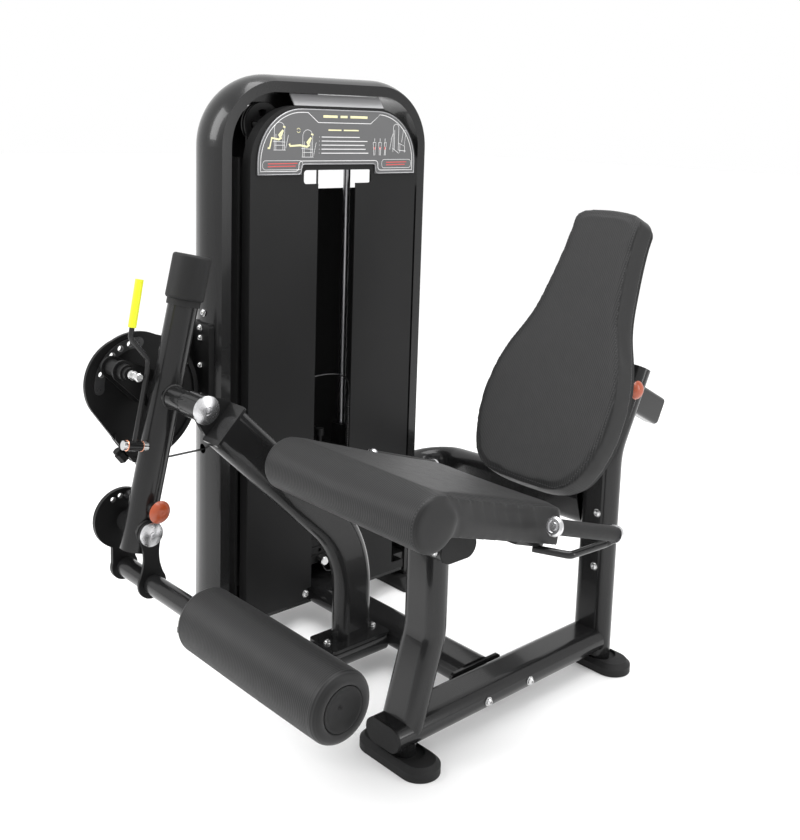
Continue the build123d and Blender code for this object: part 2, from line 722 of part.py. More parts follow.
def handle_plates():
    """Plates under the cushion that carry the handles, one a side."""
    t = seat_low_tilt()
    plates = []
    for side in (-1, 1):
        y, z = seat_low_point(-82, 0.4)
        plane = Plane(origin=(SEAT_X + side * 150, y, z), x_dir=(1, 0, 0), z_dir=(0, sin(t), cos(t)))
        plates.append(extrude(plane * RectangleRounded(70, 105, 10), amount=-8))
    return plates


def handle_line(x):
    """Front and rear end of a grip's axis."""
    return (x, -124.0, 592.4), (x, 78.0, 527.0)


def handle_x(side):
    return SEAT_X + side * 285.0


def handle_rods():
    """Bent bars from their bracket plates out sideways, back, and up into the grips' rear ends."""
    rods = []
    for side, plate in zip((-1, 1), handle_plates()):
        front, rear = handle_line(handle_x(side))
        axis = (Vector(*rear) - Vector(*front)).normalized()
        tip = Vector(*rear) + axis * 24
        bend = tip + Vector(-side * 32, 4, -30)
        corner = Vector(SEAT_X + side * 245, -20, 490)
        inner = Vector(SEAT_X + side * 172, -58, 492)
        start = Vector(*front) + axis * 4
        points = [tuple(inner), tuple(corner), tuple(bend), tuple(tip), tuple(start)]
        rods.append(bent_rod(points, 8.5, 14) + plate)
    return rods


def handle_grips():
    grips = []
    for side in (-1, 1):
        front, rear = handle_line(handle_x(side))
        grips.append(rod_between(front, rear, 17) - rod_between(front, rear, 8.5))
    return grips


def handle_caps():
    """Silver collars at both ends of each grip."""
    caps = []
    for side in (-1, 1):
        front, rear = [Vector(*p) for p in handle_line(handle_x(side))]
        axis = (rear - front).normalized()
        nose = rod_between(tuple(front - axis * 13), tuple(front), 21)
        nose = chamfer(nose.edges().filter_by(GeomType.CIRCLE), 4)
        dimple = rod_between(tuple(front - axis * 15), tuple(front - axis * 10), 13)
        dimple -= rod_between(tuple(front - axis * 15), tuple(front - axis * 10), 8)
        ring = rod_between(tuple(rear), tuple(rear + axis * 8), 20)
        caps += [nose - dimple, ring - rod_between(tuple(rear), tuple(rear + axis * 8), 8.5)]
    return caps


# Backrest

def back_plane(out=0.0):
    """Plane on the backrest's front face: x across, y up the face."""
    y, z = back_point(0, out)
    t = radians(BACK_LEAN)
    return Plane(origin=(BACK_X, y, z), x_dir=(1, 0, 0), z_dir=(0, -cos(t), sin(t)))


def back_outline(inset=0.0):
    """Bottle-shaped outline, wide at the hips and narrow at the shoulders."""
    k = inset
    half = [
        (0, 13 + k), (70, 15 + k), (118 - k / 2, 26 + k), (152 - k, 50 + k / 2),
        (186 - k, 116), (200 - k, 200), (193 - k, 285), (173 - k, 355),
        (141 - k, 430), (119 - k, 530), (107 - k, 620), (104 - k, 665 - k),
    ]
    top = [(104 - k, 694 - k), (86 - k / 2, 715 - k), (50, 724 - k), (0, 727 - k)]
    mirror = [(-x, y) for x, y in half[1:]]
    return make_face(Wire([
        Spline(*half),
        Line(half[-1], top[0]),
        Spline(*top, *[(-x, y) for x, y in top[-2::-1]]),
        Line((-top[0][0], top[0][1]), mirror[-1]),
        Spline(*mirror[::-1], half[0]),
    ]))


def backrest_pad():
    return extrude(back_plane(-BACK_THICK) * back_outline(), amount=BACK_THICK)


def backrest_board():
    """Plastic-covered board behind the pad with the carriage's mounting plate."""
    return extrude(back_plane(-BACK_THICK - 0.5) * back_outline(9), amount=-12)


def backrest_carriage():
    """Square tube through the upright, with the plate on the board."""
    tube = carriage_bar(0.0) - carriage_bar(-4.0, -236, 186)
    behind = extrude(back_plane(-BACK_THICK - 12.5) * Rectangle(600, 1600), amount=600)
    tube = tube - behind
    holes = []
    for i in range(-2, 3):
        y, z = carriage_point(CARRIAGE_PIN + 30 * i)
        holes.append(cyl_x(SEAT_X + 10, SEAT_X + 40, y, z, 7.1))
    plane = back_plane(-BACK_THICK - 12.5)
    plate = extrude(plane * Pos(SEAT_X - BACK_X, 330) * RectangleRounded(150, 240, 14), amount=-6)
    return tube - holes + plate


def pop_pin(x, y, z, tip, knob_r, stem=14.0):
    """A pull pin along X: slim tip, stem and a mushroom knob."""
    shaft = cyl_x(tip, x + stem, y, z, 6)
    outline = [
        Line((0, 0), (0, 16)),
        ThreePointArc((0, 16), (knob_r * 0.72, 11.5), (knob_r, 3)),
        Line((knob_r, 3), (9, 0)),
        Line((9, 0), (0, 0)),
    ]
    knob = revolve(make_face(Wire(outline)), axis=Axis.Y)
    return shaft, Pos(x + stem, y, z) * Rot(0, 0, -90) * knob


def backrest_pull_pin():
    y, z = carriage_point(CARRIAGE_PIN)
    shaft, knob = pop_pin(SEAT_X + 67, y, z, SEAT_X + 25.5, 24, 8)
    return shaft + knob


# Exercise lever

def lever_bar(r, low, high):
    return rod_between(lever_point(low), lever_point(high), r)


def lever_tube():
    tube = lever_bar(LEVER_R, -372, LEVER_TOP) - lever_bar(LEVER_R - 4, -368, LEVER_TOP - 4)
    tube -= cyl_x(-400, -200, KNEE_Y, KNEE_Z, KNEE_HUB_R)
    tube -= cyl_x(-400, -200, ANKLE_Y, ANKLE_Z, 26)
    y, z = arm_pin_point()
    return tube - cyl_x(-400, -200, y, z, 13)


def counterweight():
    """Rubber-coated weight on the lever's top."""
    weight = lever_bar(46, 226, 333)
    weight = fillet(weight.edges().filter_by(GeomType.CIRCLE), 7)
    neck = lever_bar(40, 212, 226)
    return weight + neck - lever_bar(LEVER_R, 200, LEVER_TOP)


def lever_hub():
    """Turning hub on the knee shaft: through the lever and on to the selector arm."""
    hub = cyl_x(-425, -203, KNEE_Y, KNEE_Z, KNEE_HUB_R)
    hub -= cyl_x(-214, -212.5, KNEE_Y, KNEE_Z, 40) - cyl_x(-220, -200, KNEE_Y, KNEE_Z, KNEE_HUB_R - 1)
    return hub - cyl_x(-430, -200, KNEE_Y, KNEE_Z, SHAFT_R + 0.05)


def index_point(angle, r=INDEX_R):
    a = radians(angle)
    return (KNEE_Y - r * cos(a), KNEE_Z + r * sin(a))


def teardrop(r_big, r_small):
    """Plate outline (y, z) from the knee axis to the index pin."""
    y, z = index_point(INDEX_HOME)
    big = Pos(KNEE_Y, KNEE_Z) * Circle(r_big)
    small = Pos(y, z) * Circle(r_small)
    return make_hull((big + small).edges())


def selector_arm():
    """Two teardrop plates and the pin housing between them."""
    y, z = index_point(INDEX_HOME)
    plate = teardrop(44, 26)
    plates = yz_plate(plate, -421, -414) + yz_plate(plate, -366, -359)
    housing = cyl_x(-424, -338, y, z, 19) + cyl_x(-338, -325, y, z, 15)
    arm = plates + housing
    arm -= cyl_x(-430, -350, KNEE_Y, KNEE_Z, KNEE_HUB_R)
    return arm - cyl_x(-430, -300, y, z, 7.1)


def selector_pin():
    y, z = index_point(INDEX_HOME)
    pin = cyl_x(CAM_X + 9.5, -291, y, z, 7)
    collar = cyl_x(-318, -309, y, z, 11)
    button = cyl_x(-291, -281, y, z, 10)
    return pin + collar + chamfer(button.edges().filter_by(GeomType.CIRCLE), 2)


def handle_pivot_point(out=0.0, x=LEVER_X + 12):
    return lever_point(-124.0, out, x)


def pin_handle_pivot():
    """Bolt with silver heads and copper washers that the yellow-grip handle turns on."""
    bolt = rod_between(handle_pivot_point(LEVER_R - 2), handle_pivot_point(88), 6)
    heads = [
        rod_between(handle_pivot_point(LEVER_R - 6), handle_pivot_point(LEVER_R + 7), 11),
        rod_between(handle_pivot_point(83), handle_pivot_point(93), 11),
    ]
    return bolt + heads - lever_bar(LEVER_R, -200, 0)


def pin_handle_rod():
    """Barrel on the pivot bolt and the rod up past the index pin to the grip."""
    barrel = rod_between(handle_pivot_point(LEVER_R + 8), handle_pivot_point(82), 12)
    barrel -= rod_between(handle_pivot_point(LEVER_R), handle_pivot_point(96), 6.05)
    x = LEVER_X + 12
    points = [
        lever_point(-116, 64, x), lever_point(50, 68, x), lever_point(78, 72, x),
        lever_point(122, 127, x), lever_point(190, 130, x),
    ]
    rod = bent_rod(points, 6, 18)
    rod -= rod_between(handle_pivot_point(LEVER_R), handle_pivot_point(96), 6.05)
    return barrel + rod


def yellow_grip():
    x = LEVER_X + 12
    low, high = Vector(*lever_point(122, 127, x)), Vector(*lever_point(190, 130, x))
    run = (high - low).normalized()
    grip = rod_between(low + run * 25, low + run * 135, 9.5)
    return grip - rod_between(low, high, 6)


# Cam

def cam_face(inset=0.0):
    """Cam outline (y, z): a spiral from the top, over the rear, to the cable's foot."""
    k = inset

    def at(dy, dz):
        r = hypot(dy, dz)
        return (KNEE_Y + dy * (r - k) / r, KNEE_Z + dz * (r - k) / r)

    return make_face(Wire([
        ThreePointArc(at(-115, -58), at(-135, 7), at(-61, 111)),
        ThreePointArc(at(-61, 111), at(-5, 126), at(57, 112)),
        Spline(at(57, 112), at(128, 70), at(168, -12), at(158, -105), at(104, -172), at(20, -203),
               at(-12, -200)),
        Line(at(-12, -200), at(-48, -152)),
        Line(at(-48, -152), at(-115, -58)),
    ]))


def cam_plate():
    """Cam disc with a grooved rim round its rear and foot."""
    disc = yz_plate(cam_face(), CAM_X - 5, CAM_X + 5)
    rim = yz_plate(cam_face(), CAM_X - 11, CAM_X + 11) - yz_plate(cam_face(12), CAM_X - 12, CAM_X + 12)
    rear = block((CAM_X - 20, CAM_X + 20), (KNEE_Y + 40, KNEE_Y + 260), (KNEE_Z - 260, KNEE_Z + 60))
    foot = block((CAM_X - 20, CAM_X + 20), (KNEE_Y - 60, KNEE_Y + 41), (KNEE_Z - 260, KNEE_Z - 120))
    rim = rim & (rear + foot)
    groove = yz_plate(cam_face(-1) - cam_face(6), PULLEY_X - 3.4, PULLEY_X + 3.4)
    hub = cyl_x(-468, -430, KNEE_Y, KNEE_Z, 36)
    cam = disc + rim + hub - (groove & (rear + foot))
    cam -= cyl_x(-480, -420, KNEE_Y, KNEE_Z, SHAFT_R + 0.05)
    return cam - index_holes()


def index_angles():
    return [INDEX_HOME + INDEX_PITCH * i for i in range(-1, 4)]


def index_holes():
    return [cyl_x(-470, -430, *index_point(a), 7.6) for a in index_angles()]


def index_strip():
    """Polished arc plate with the start-position holes."""
    a0, a1 = radians(-2), radians(93)
    r0, r1 = INDEX_R - 13, INDEX_R + 13

    def at(r, a):
        return (KNEE_Y - r * cos(a), KNEE_Z + r * sin(a))

    mid = (a0 + a1) / 2
    cap = 13 / INDEX_R
    arc = make_face(Wire([
        ThreePointArc(at(r1, a0), at(r1, mid), at(r1, a1)),
        ThreePointArc(at(r1, a1), at(INDEX_R, a1 + cap), at(r0, a1)),
        ThreePointArc(at(r0, a1), at(r0, mid), at(r0, a0)),
        ThreePointArc(at(r0, a0), at(INDEX_R, a0 - cap), at(r1, a0)),
    ]))
    strip = yz_plate(arc, CAM_X + 5, CAM_X + 9) - index_holes()
    for angle in (-1.7, 92.5):
        y, z = index_point(angle)
        strip += cyl_x(CAM_X + 9, CAM_X + 11, y, z, 7) - cyl_x(CAM_X + 9.6, CAM_X + 12, y, z, 2.6)
    return strip


def cable_fitting():
    """Hex union that clamps the cable's end at the cam's foot."""
    y, z = KNEE_Y - 29.6, KNEE_Z - 192.4
    plane = Plane(origin=(PULLEY_X, y, z), z_dir=(0, -0.62, 0.78))
    union = extrude(plane * RegularPolygon(13, 6), amount=26)
    collar = extrude(plane.offset(26) * Circle(10), amount=9)
    return union + collar - yz_plate(cam_face(), CAM_X - 12, CAM_X + 12)


# Lower pivot and roller

def arm_pin_point():
    """The pull pin's place on the lever, above the lower pivot."""
    t = radians(LEVER_TILT)
    return (ANKLE_Y + ANKLE_PIN_R * sin(t), ANKLE_Z + ANKLE_PIN_R * cos(t))


def ankle_hub():
    """Cross hub at the lever's foot that the roller arm turns on, and the pull pin's housing."""
    y, z = arm_pin_point()
    hub = cyl_x(-372, -265, ANKLE_Y, ANKLE_Z, 26) - cyl_x(-380, -250, ANKLE_Y, ANKLE_Z, 10.05)
    housing = cyl_x(-384, -262, y, z, 13) - cyl_x(-390, -240, y, z, 6.1)
    return [hub, housing]


def arm_pull_pin():
    y, z = arm_pin_point()
    shaft, knob = pop_pin(-262, y, z, -387.5, 27, 20.5)
    return shaft + knob


def ankle_face(r_top, waist):
    """Plate outline (y, z) from the lower pivot down to the roller bar."""
    top = Pos(ANKLE_Y, ANKLE_Z) * Circle(r_top)
    low = Pos(ROLLER_Y, ROLLER_Z) * Circle(BAR_R + 10)
    mid_z = (ANKLE_Z + ROLLER_Z) / 2
    web = Pos((ANKLE_Y + ROLLER_Y) / 2, mid_z) * Rectangle(2 * waist, ANKLE_Z - ROLLER_Z)
    return top + low + web


def range_disc():
    """Far plate of the roller arm: a disc with the row of locking holes."""
    disc = yz_plate(ankle_face(74, 30), -400, -388)
    home = 90 + LEVER_TILT
    holes = []
    for step in range(-1, 3):
        a = radians(home - ANKLE_PITCH * step)
        y, z = ANKLE_Y - ANKLE_PIN_R * cos(a), ANKLE_Z + ANKLE_PIN_R * sin(a)
        holes.append(cyl_x(-410, -380, y, z, 6.6))
    disc -= cyl_x(-410, -380, ROLLER_Y, ROLLER_Z, BAR_R)
    return disc - holes - cyl_x(-410, -380, ANKLE_Y, ANKLE_Z, 10)


def near_plate():
    """Waisted near plate of the roller arm."""
    top = Pos(ANKLE_Y, ANKLE_Z) * Circle(30)
    low = Pos(ROLLER_Y, ROLLER_Z) * Circle(BAR_R + 12)
    sides = []
    for s in (-1, 1):
        waist = ((ANKLE_Y + ROLLER_Y) / 2 + s * 20, ANKLE_Z - 58)
        sides.append(ThreePointArc(
            (ANKLE_Y + s * 29, ANKLE_Z - 8), waist, (ROLLER_Y + s * 33, ROLLER_Z + 14)))
    web = make_face(Wire([
        sides[0],
        Line(sides[0] @ 1, sides[1] @ 1),
        sides[1],
        Line(sides[1] @ 0, sides[0] @ 0),
    ]))
    plate = yz_plate(top + low + web, -264, -257)
    plate -= cyl_x(-270, -250, ROLLER_Y, ROLLER_Z, BAR_R)
    return plate - cyl_x(-270, -250, ANKLE_Y, ANKLE_Z, 10)


def ankle_pivot_bolt():
    """Pivot shaft with a domed silver cap at its near end."""
    shaft = cyl_x(-406, -257, ANKLE_Y, ANKLE_Z, 10)
    washer = cyl_x(-406, -400, ANKLE_Y, ANKLE_Z, 17)
    return shaft + washer + domed_cap(-257, ANKLE_Y, ANKLE_Z, 29, 11)


def roller_bar():
    """Bar from the roller arm's plates out through the ankle roller."""
    end = ROLLER_X[0] - 8
    thick = cyl_x(-404, end, ROLLER_Y, ROLLER_Z, BAR_R)
    thick -= cyl_x(-400, end - 8, ROLLER_Y, ROLLER_Z, BAR_R - 4)
    return thick + cyl_x(end - 8, 430, ROLLER_Y, ROLLER_Z, 12)


def ankle_roller():
    x0, x1 = ROLLER_X
    roller = cyl_x(x0, x1, ROLLER_Y, ROLLER_Z, ROLLER_R)
    roller = fillet(roller.edges().filter_by(GeomType.CIRCLE), 22)
    roller -= cyl_x(x1 - 7, x1 + 5, ROLLER_Y, ROLLER_Z, 46)
    return roller - cyl_x(x0 - 5, x1 + 5, ROLLER_Y, ROLLER_Z, 20)


def roller_core():
    """Plastic sleeve that turns on the bar, with the dished cap at its outer end."""
    x0, x1 = ROLLER_X
    sleeve = cyl_x(x0 + 1, x1 - 7, ROLLER_Y, ROLLER_Z, 20)
    cap = cyl_x(x1 - 7, x1 - 2, ROLLER_Y, ROLLER_Z, 46)
    cap -= cyl_x(x1 - 4, x1 + 1, ROLLER_Y, ROLLER_Z, 38)
    return sleeve + cap - cyl_x(x0 - 5, 430.5, ROLLER_Y, ROLLER_Z, 12.1)


# Lanyard of the stack's pin

def lead(points):
    """A cord lead: straight runs joined by arcs that grow with their runs."""
    edges = []
    start = Vector(*points[0])
    for a, b, c in zip(points, points[1:], points[2:]):
        va, vb, vc = Vector(*a), Vector(*b), Vector(*c)
        run_in, run_out = (vb - va), (vc - vb)
        cut = 0.45 * min(run_in.length, run_out.length)
        p = vb - run_in.normalized() * cut
        q = vb + run_out.normalized() * cut
        if (p - start).length > 0.01:
            edges.append(Line(start, p))
        edges.append(TangentArc(p, q, tangent=run_in))
        start = q
    edges.append(Line(start, Vector(*points[-1])))
    path = Wire(edges)
    return sweep(Plane(origin=path @ 0, z_dir=path % 0) * Circle(LEAD_R), path=path)


def pin_lanyard():
    """The coiled lanyard's outer shape and its two plain leads."""
    coil = cyl_z(*COIL_Z, COIL_X, COIL_Y, COIL_R)
    return [coil, lead(LOW_LEAD), lead(HIGH_LEAD)]


# Fasteners on the fixed frame

def frame_bolts():
    bolts = []
    for s in (-1, 1):
        bolts.append(hex_bolt((314, 27 + s * 73.5, FLOOR_Z), (1, 0, 0), 5, 7, 108))
    for y in (-192, -43):
        bolts.append(hex_bolt((-102, y, 100), (0, 0, 1), 5, 7, 0))
    for z in (866, 840, 769, 690):
        bolts.append(hex_bolt((-453, -343.5, z), (0, -1, 0), 4.5, 5, 0))
    bolts.append(hex_bolt((-450, -335.5, 905), (0, -1, 0), 4.5, 5, 0))
    for x in (37, 320):
        bolts.append(hex_bolt((x, -248.5, 497), (0, -1, 0), 5, 6, 0))
    for z in (420.0, 275.0):
        bolts.append(hex_bolt((SEAT_X + 14, UPRIGHT_Y - 29, z), (0, -1, 0), 5, 6, 0))
    bolts.append(hex_bolt((SHROUD_FACE_X, -59, 97), (1, 0, 0), 5, 6, 0))
    return bolts


NODES = {
    "tower_frame": tower_frame,
    "tower_feet": tower_feet,
    "tower_cross_tube": tower_cross_tube,
    "front_shroud": front_shroud,
    "rear_shroud": rear_shroud,
    "placard": placard,
    "guide_rods": guide_rods,
    "stack_bumpers": stack_bumpers,
    "weight_plates": weight_plates,
    "stack_top_plate": stack_top_plate,
    "stack_pin": stack_pin,
    "top_pulley_front": lambda: pulley(TOP_PULLEYS[0], TOP_PULLEY_R),
    "top_pulley_rear": lambda: pulley(TOP_PULLEYS[1], TOP_PULLEY_R),
    "low_pulley": lambda: pulley(LOW_PULLEY, LOW_PULLEY_R, 18.0),
    "pulley_axles": pulley_axles,
    "pulley_brackets": pulley_brackets,
    "drive_cable": drive_cable,
    "stack_cable": stack_cable,
    "base_rail": base_rail,
    "seat_floor_tube": seat_floor_tube,
    "floor_feet": floor_feet,
    "tube_end_caps": tube_end_caps,
    "support_arm": support_arm,
    "arm_hub": arm_hub,
    "knee_shaft": knee_shaft,
    "knee_bearing_bracket": knee_bearing_bracket,
    "front_leg_tube": front_leg_tube,
    "seat_cross_tube": seat_cross_tube,
    "rear_upright": rear_upright,
    "link_tube": link_tube,
    "seat_pad": seat_pad,
    "seat_board": seat_board,
    "handle_rods": handle_rods,
    "handle_grips": handle_grips,
    "handle_caps": handle_caps,
    "backrest_pad": backrest_pad,
    "backrest_board": backrest_board,
    "backrest_carriage": backrest_carriage,
    "backrest_pull_pin": backrest_pull_pin,
    "lever_tube": lever_tube,
    "counterweight": counterweight,
    "lever_hub": lever_hub,
    "selector_arm": selector_arm,
    "selector_pin": selector_pin,
    "pin_handle_pivot": pin_handle_pivot,
    "pin_handle_rod": pin_handle_rod,
    "yellow_grip": yellow_grip,
    "cam_plate": cam_plate,
    "index_strip": index_strip,
    "cable_fitting": cable_fitting,
    "ankle_hub": ankle_hub,
    "arm_pull_pin": arm_pull_pin,
    "range_disc": range_disc,
    "near_plate": near_plate,
    "ankle_pivot_bolt": ankle_pivot_bolt,
    "roller_bar": roller_bar,
    "ankle_roller": ankle_roller,
    "roller_core": roller_core,
    "pin_lanyard": pin_lanyard,
    "frame_bolts": frame_bolts,
}


def save(name, shape):
    """Write one node as a STEP file, moved to the shared origin."""
    solids = [s for part in (shape if isinstance(shape, list) else [shape]) for s in part.solids()]
    moved = [Pos(*ORIGIN) * s for s in solids]
    export_step(moved[0] if len(moved) == 1 else Compound(children=moved), f"parts/{name}.step")


def main():
    os.makedirs("parts", exist_ok=True)
    for name, make in NODES.items():
        save(name, make())


main()
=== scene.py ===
"""Looks of the leg extension machine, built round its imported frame.

Layout numbers are millimetres measured from the seat, as in the part's source; at() turns
them into metres in the row frame.
"""

import json
from math import cos, pi, radians, sin

import bpy
import numpy as np
from mathutils import Matrix, Vector, noise
from mathutils.bvhtree import BVHTree


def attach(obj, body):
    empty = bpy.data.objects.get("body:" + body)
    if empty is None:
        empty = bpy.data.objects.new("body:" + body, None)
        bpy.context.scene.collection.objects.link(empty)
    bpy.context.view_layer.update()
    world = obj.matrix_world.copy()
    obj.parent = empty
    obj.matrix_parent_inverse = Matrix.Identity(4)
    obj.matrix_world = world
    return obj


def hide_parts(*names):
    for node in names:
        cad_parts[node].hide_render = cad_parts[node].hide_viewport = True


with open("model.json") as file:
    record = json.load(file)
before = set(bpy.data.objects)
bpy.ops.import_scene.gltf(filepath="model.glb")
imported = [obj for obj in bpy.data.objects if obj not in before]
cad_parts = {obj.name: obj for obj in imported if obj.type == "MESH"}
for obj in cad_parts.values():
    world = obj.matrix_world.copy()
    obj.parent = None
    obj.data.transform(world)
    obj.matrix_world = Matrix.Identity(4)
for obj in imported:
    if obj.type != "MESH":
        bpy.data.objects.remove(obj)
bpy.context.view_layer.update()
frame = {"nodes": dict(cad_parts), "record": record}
nodes = frame["nodes"]

ORIGIN = Vector((-0.5, 12.5, 0.0))


def at(x, y, z):
    """A layout point in metres in the row frame."""
    return (Vector((x, y, z)) + ORIGIN) / 1000


# Camera

VIEW_YAW = 47.407
VIEW_PITCH = 8.919
VIEW_ROLL = 1.728
VIEW_PLACE = (1849.8, -1794.6, 1410.1)
VIEW_SHIFT = (0.0068, -0.16)
SENSOR = 36.0
LENS = 45.91157


def make_camera():
    data = bpy.data.cameras.new("view")
    cam = bpy.data.objects.new("view", data)
    bpy.context.collection.objects.link(cam)
    yaw, pitch, roll = radians(VIEW_YAW), radians(VIEW_PITCH), radians(VIEW_ROLL)
    ahead = Vector((-sin(yaw) * cos(pitch), cos(yaw) * cos(pitch), -sin(pitch)))
    level = Vector((cos(yaw), sin(yaw), 0))
    up = level.cross(ahead)
    right = level * cos(roll) + up * sin(roll)
    up = up * cos(roll) - level * sin(roll)
    turn = Matrix((right, up, -ahead)).transposed().to_4x4()
    cam.matrix_world = Matrix.Translation(at(*VIEW_PLACE)) @ turn
    data.lens = LENS
    data.sensor_width = SENSOR
    data.shift_x, data.shift_y = VIEW_SHIFT
    data.clip_start = 0.05
    data.clip_end = 100
    bpy.context.scene.camera = cam


make_camera()


# Materials

def grey(level):
    return (level, level, 1.02 * level)


def link_node(tree, kind, **values):
    """A new shader node with its properties set."""
    node = tree.nodes.new(kind)
    for key, value in values.items():
        setattr(node, key, value)
    return node


class Paint:
    """A material under construction: one Principled shader and the textures that feed it."""

    def __init__(self, name):
        self.mat = bpy.data.materials.new(name)
        self.mat.use_nodes = True
        self.tree = self.mat.node_tree
        self.shader = self.tree.nodes["Principled BSDF"]
        self.coords = link_node(self.tree, "ShaderNodeTexCoord")
        self.height = None

    def set(self, values):
        for key, value in values.items():
            self.shader.inputs[key].default_value = value
        return self

    def link(self, a, b):
        self.tree.links.new(a, b)

    def noise(self, scale, detail=3.0, stretch=(1, 1, 1)):
        """Fractal noise from 0 to 1, stretched by a factor along each axis."""
        mapping = link_node(self.tree, "ShaderNodeMapping")
        mapping.inputs["Scale"].default_value = stretch
        self.link(self.coords.outputs["Object"], mapping.inputs["Vector"])
        tex = link_node(self.tree, "ShaderNodeTexNoise")
        tex.inputs["Scale"].default_value = scale
        tex.inputs["Detail"].default_value = detail
        self.link(mapping.outputs["Vector"], tex.inputs["Vector"])
        return tex.outputs["Fac"]

    def cells(self, scale):
        """Fine grain: the distance to the nearest of scattered points."""
        tex = link_node(self.tree, "ShaderNodeTexVoronoi")
        tex.inputs["Scale"].default_value = scale
        self.link(self.coords.outputs["Object"], tex.inputs["Vector"])
        return tex.outputs["Distance"]

    def bands(self, axis, period):
        """Waves along an axis that repeat at that period in metres."""
        tex = link_node(self.tree, "ShaderNodeTexWave", wave_type="BANDS", bands_direction=axis)
        tex.inputs["Scale"].default_value = 0.314159 / period
        self.link(self.coords.outputs["Object"], tex.inputs["Vector"])
        return tex.outputs["Fac"]

    def across_x(self, fac):
        """The pattern where the surface faces away from X, fading out where it faces along X."""
        split = link_node(self.tree, "ShaderNodeSeparateXYZ")
        self.link(self.coords.outputs["Normal"], split.inputs["Vector"])
        size = link_node(self.tree, "ShaderNodeMath", operation="ABSOLUTE")
        self.link(split.outputs["X"], size.inputs[0])
        fade = link_node(self.tree, "ShaderNodeMapRange")
        fade.inputs["From Min"].default_value = 0.55
        fade.inputs["From Max"].default_value = 0.85
        fade.inputs["To Min"].default_value = 1.0
        fade.inputs["To Max"].default_value = 0.0
        self.link(size.outputs["Value"], fade.inputs["Value"])
        product = link_node(self.tree, "ShaderNodeMath", operation="MULTIPLY")
        self.link(fac, product.inputs[0])
        self.link(fade.outputs["Result"], product.inputs[1])
        return product.outputs["Value"]

    def above(self, height):
        """0 below a height in metres, 1 above it."""
        split = link_node(self.tree, "ShaderNodeSeparateXYZ")
        self.link(self.coords.outputs["Object"], split.inputs["Vector"])
        ramp = link_node(self.tree, "ShaderNodeMapRange")
        ramp.inputs["From Min"].default_value = height
        ramp.inputs["From Max"].default_value = height + 0.0005
        self.link(split.outputs["Z"], ramp.inputs["Value"])
        return ramp.outputs["Result"]

    def mix(self, fac, a, b):
        """A colour between a and b; either may be a socket."""
        node = link_node(self.tree, "ShaderNodeMix", data_type="RGBA")
        self.link(fac, node.inputs["Factor"])
        for value, socket in ((a, node.inputs[6]), (b, node.inputs[7])):
            if isinstance(value, tuple):
                socket.default_value = (*value, 1.0)
            else:
                self.link(value, socket)
        return node.outputs[2]

    def scale(self, fac, low, high):
        node = link_node(self.tree, "ShaderNodeMapRange")
        node.inputs["To Min"].default_value = low
        node.inputs["To Max"].default_value = high
        self.link(fac, node.inputs["Value"])
        return node.outputs["Result"]

    def colour(self, socket):
        self.link(socket, self.shader.inputs["Base Color"])
        return self

    def rough(self, fac, low, high):
        self.link(self.scale(fac, low, high), self.shader.inputs["Roughness"])
        return self

    def bump(self, fac, distance, strength=1.0):
        node = link_node(self.tree, "ShaderNodeBump")
        node.inputs["Distance"].default_value = distance
        node.inputs["Strength"].default_value = strength
        self.link(fac, node.inputs["Height"])
        if self.height is not None:
            self.link(self.height, node.inputs["Normal"])
        self.height = node.outputs["Normal"]
        self.link(self.height, self.shader.inputs["Normal"])
        return self


def powder_coat(name, dark, light, metallic, low, high, coat, shine):
    """Smooth frame paint: two grey levels, a roughness range and a clear coat."""
    p = Paint(name)
    p.colour(p.mix(p.noise(6, 4), grey(dark), grey(light)))
    p.set({"Metallic": metallic, "Specular IOR Level": shine})
    p.set({"Coat Weight": coat, "Coat Roughness": 0.07})
    p.rough(p.noise(30, 5), low, high)
    return p.mat


def sheet_with_lit_lip(name, dark, light, pale_lit_lip, height):
    """Satin sheet paint with a pale grey band on the sloped lip above that height. The band is partly a
    paler lip and partly painted light: its grey is raised to stand in for the light from above on the
    up-facing slope.
    """
    p = Paint(name)
    # The pale grey above the height is partly painted light from above on the sloped lip.
    p.colour(p.mix(p.above(height), p.mix(p.noise(6, 4), grey(dark), grey(light)), grey(pale_lit_lip)))
    p.set({"Specular IOR Level": 0.16})
    p.rough(p.noise(30, 5), 0.4, 0.5)
    p.bump(p.noise(900, 2), 0.00006, 0.35)
    return p.mat


def satin_plastic(name, dark, light, low, high, grain=700, depth=0.00008, shine=0.22):
    """Moulded plastic or rubber: two grey levels, a roughness range and a fine grain."""
    p = Paint(name)
    p.colour(p.mix(p.noise(14, 4), grey(dark), grey(light)))
    p.set({"Specular IOR Level": shine})
    p.rough(p.noise(60, 4), low, high)
    p.bump(p.cells(grain), depth, 0.4)
    return p.mat


def bare_metal(name, dark, light, low, high):
    p = Paint(name)
    p.colour(p.mix(p.noise(40, 4), dark, light))
    p.set({"Metallic": 1.0})
    p.rough(p.noise(160, 4), low, high)
    return p.mat


def ribbed_vinyl(name):
    """Vinyl with fine embossed ridges, a leather grain between them and a dull sheen."""
    p = Paint(name)
    ridges = p.across_x(p.bands("X", 0.0052))
    base = p.mix(p.noise(5, 3), grey(0.008), grey(0.011))
    p.colour(p.mix(ridges, base, grey(0.021)))
    p.set({"Specular IOR Level": 0.24, "Sheen Weight": 0.03, "Sheen Roughness": 0.45})
    p.rough(p.noise(40, 4), 0.42, 0.56)
    p.bump(ridges, 0.0006, 0.55)
    p.bump(p.cells(650), 0.00012, 0.35)
    p.bump(p.noise(9, 2), 0.0015, 0.15)
    return p.mat


def textured_sheet(name):
    """Black sheet with the fine vertical weave of the tower's side wall."""
    p = Paint(name)
    p.colour(p.mix(p.bands("X", 0.003), grey(0.006), grey(0.014)))
    p.set({"Specular IOR Level": 0.15})
    p.rough(p.noise(40, 3), 0.5, 0.65)
    p.bump(p.noise(300, 3, (1, 1, 0.2)), 0.0003, 0.5)
    return p.mat


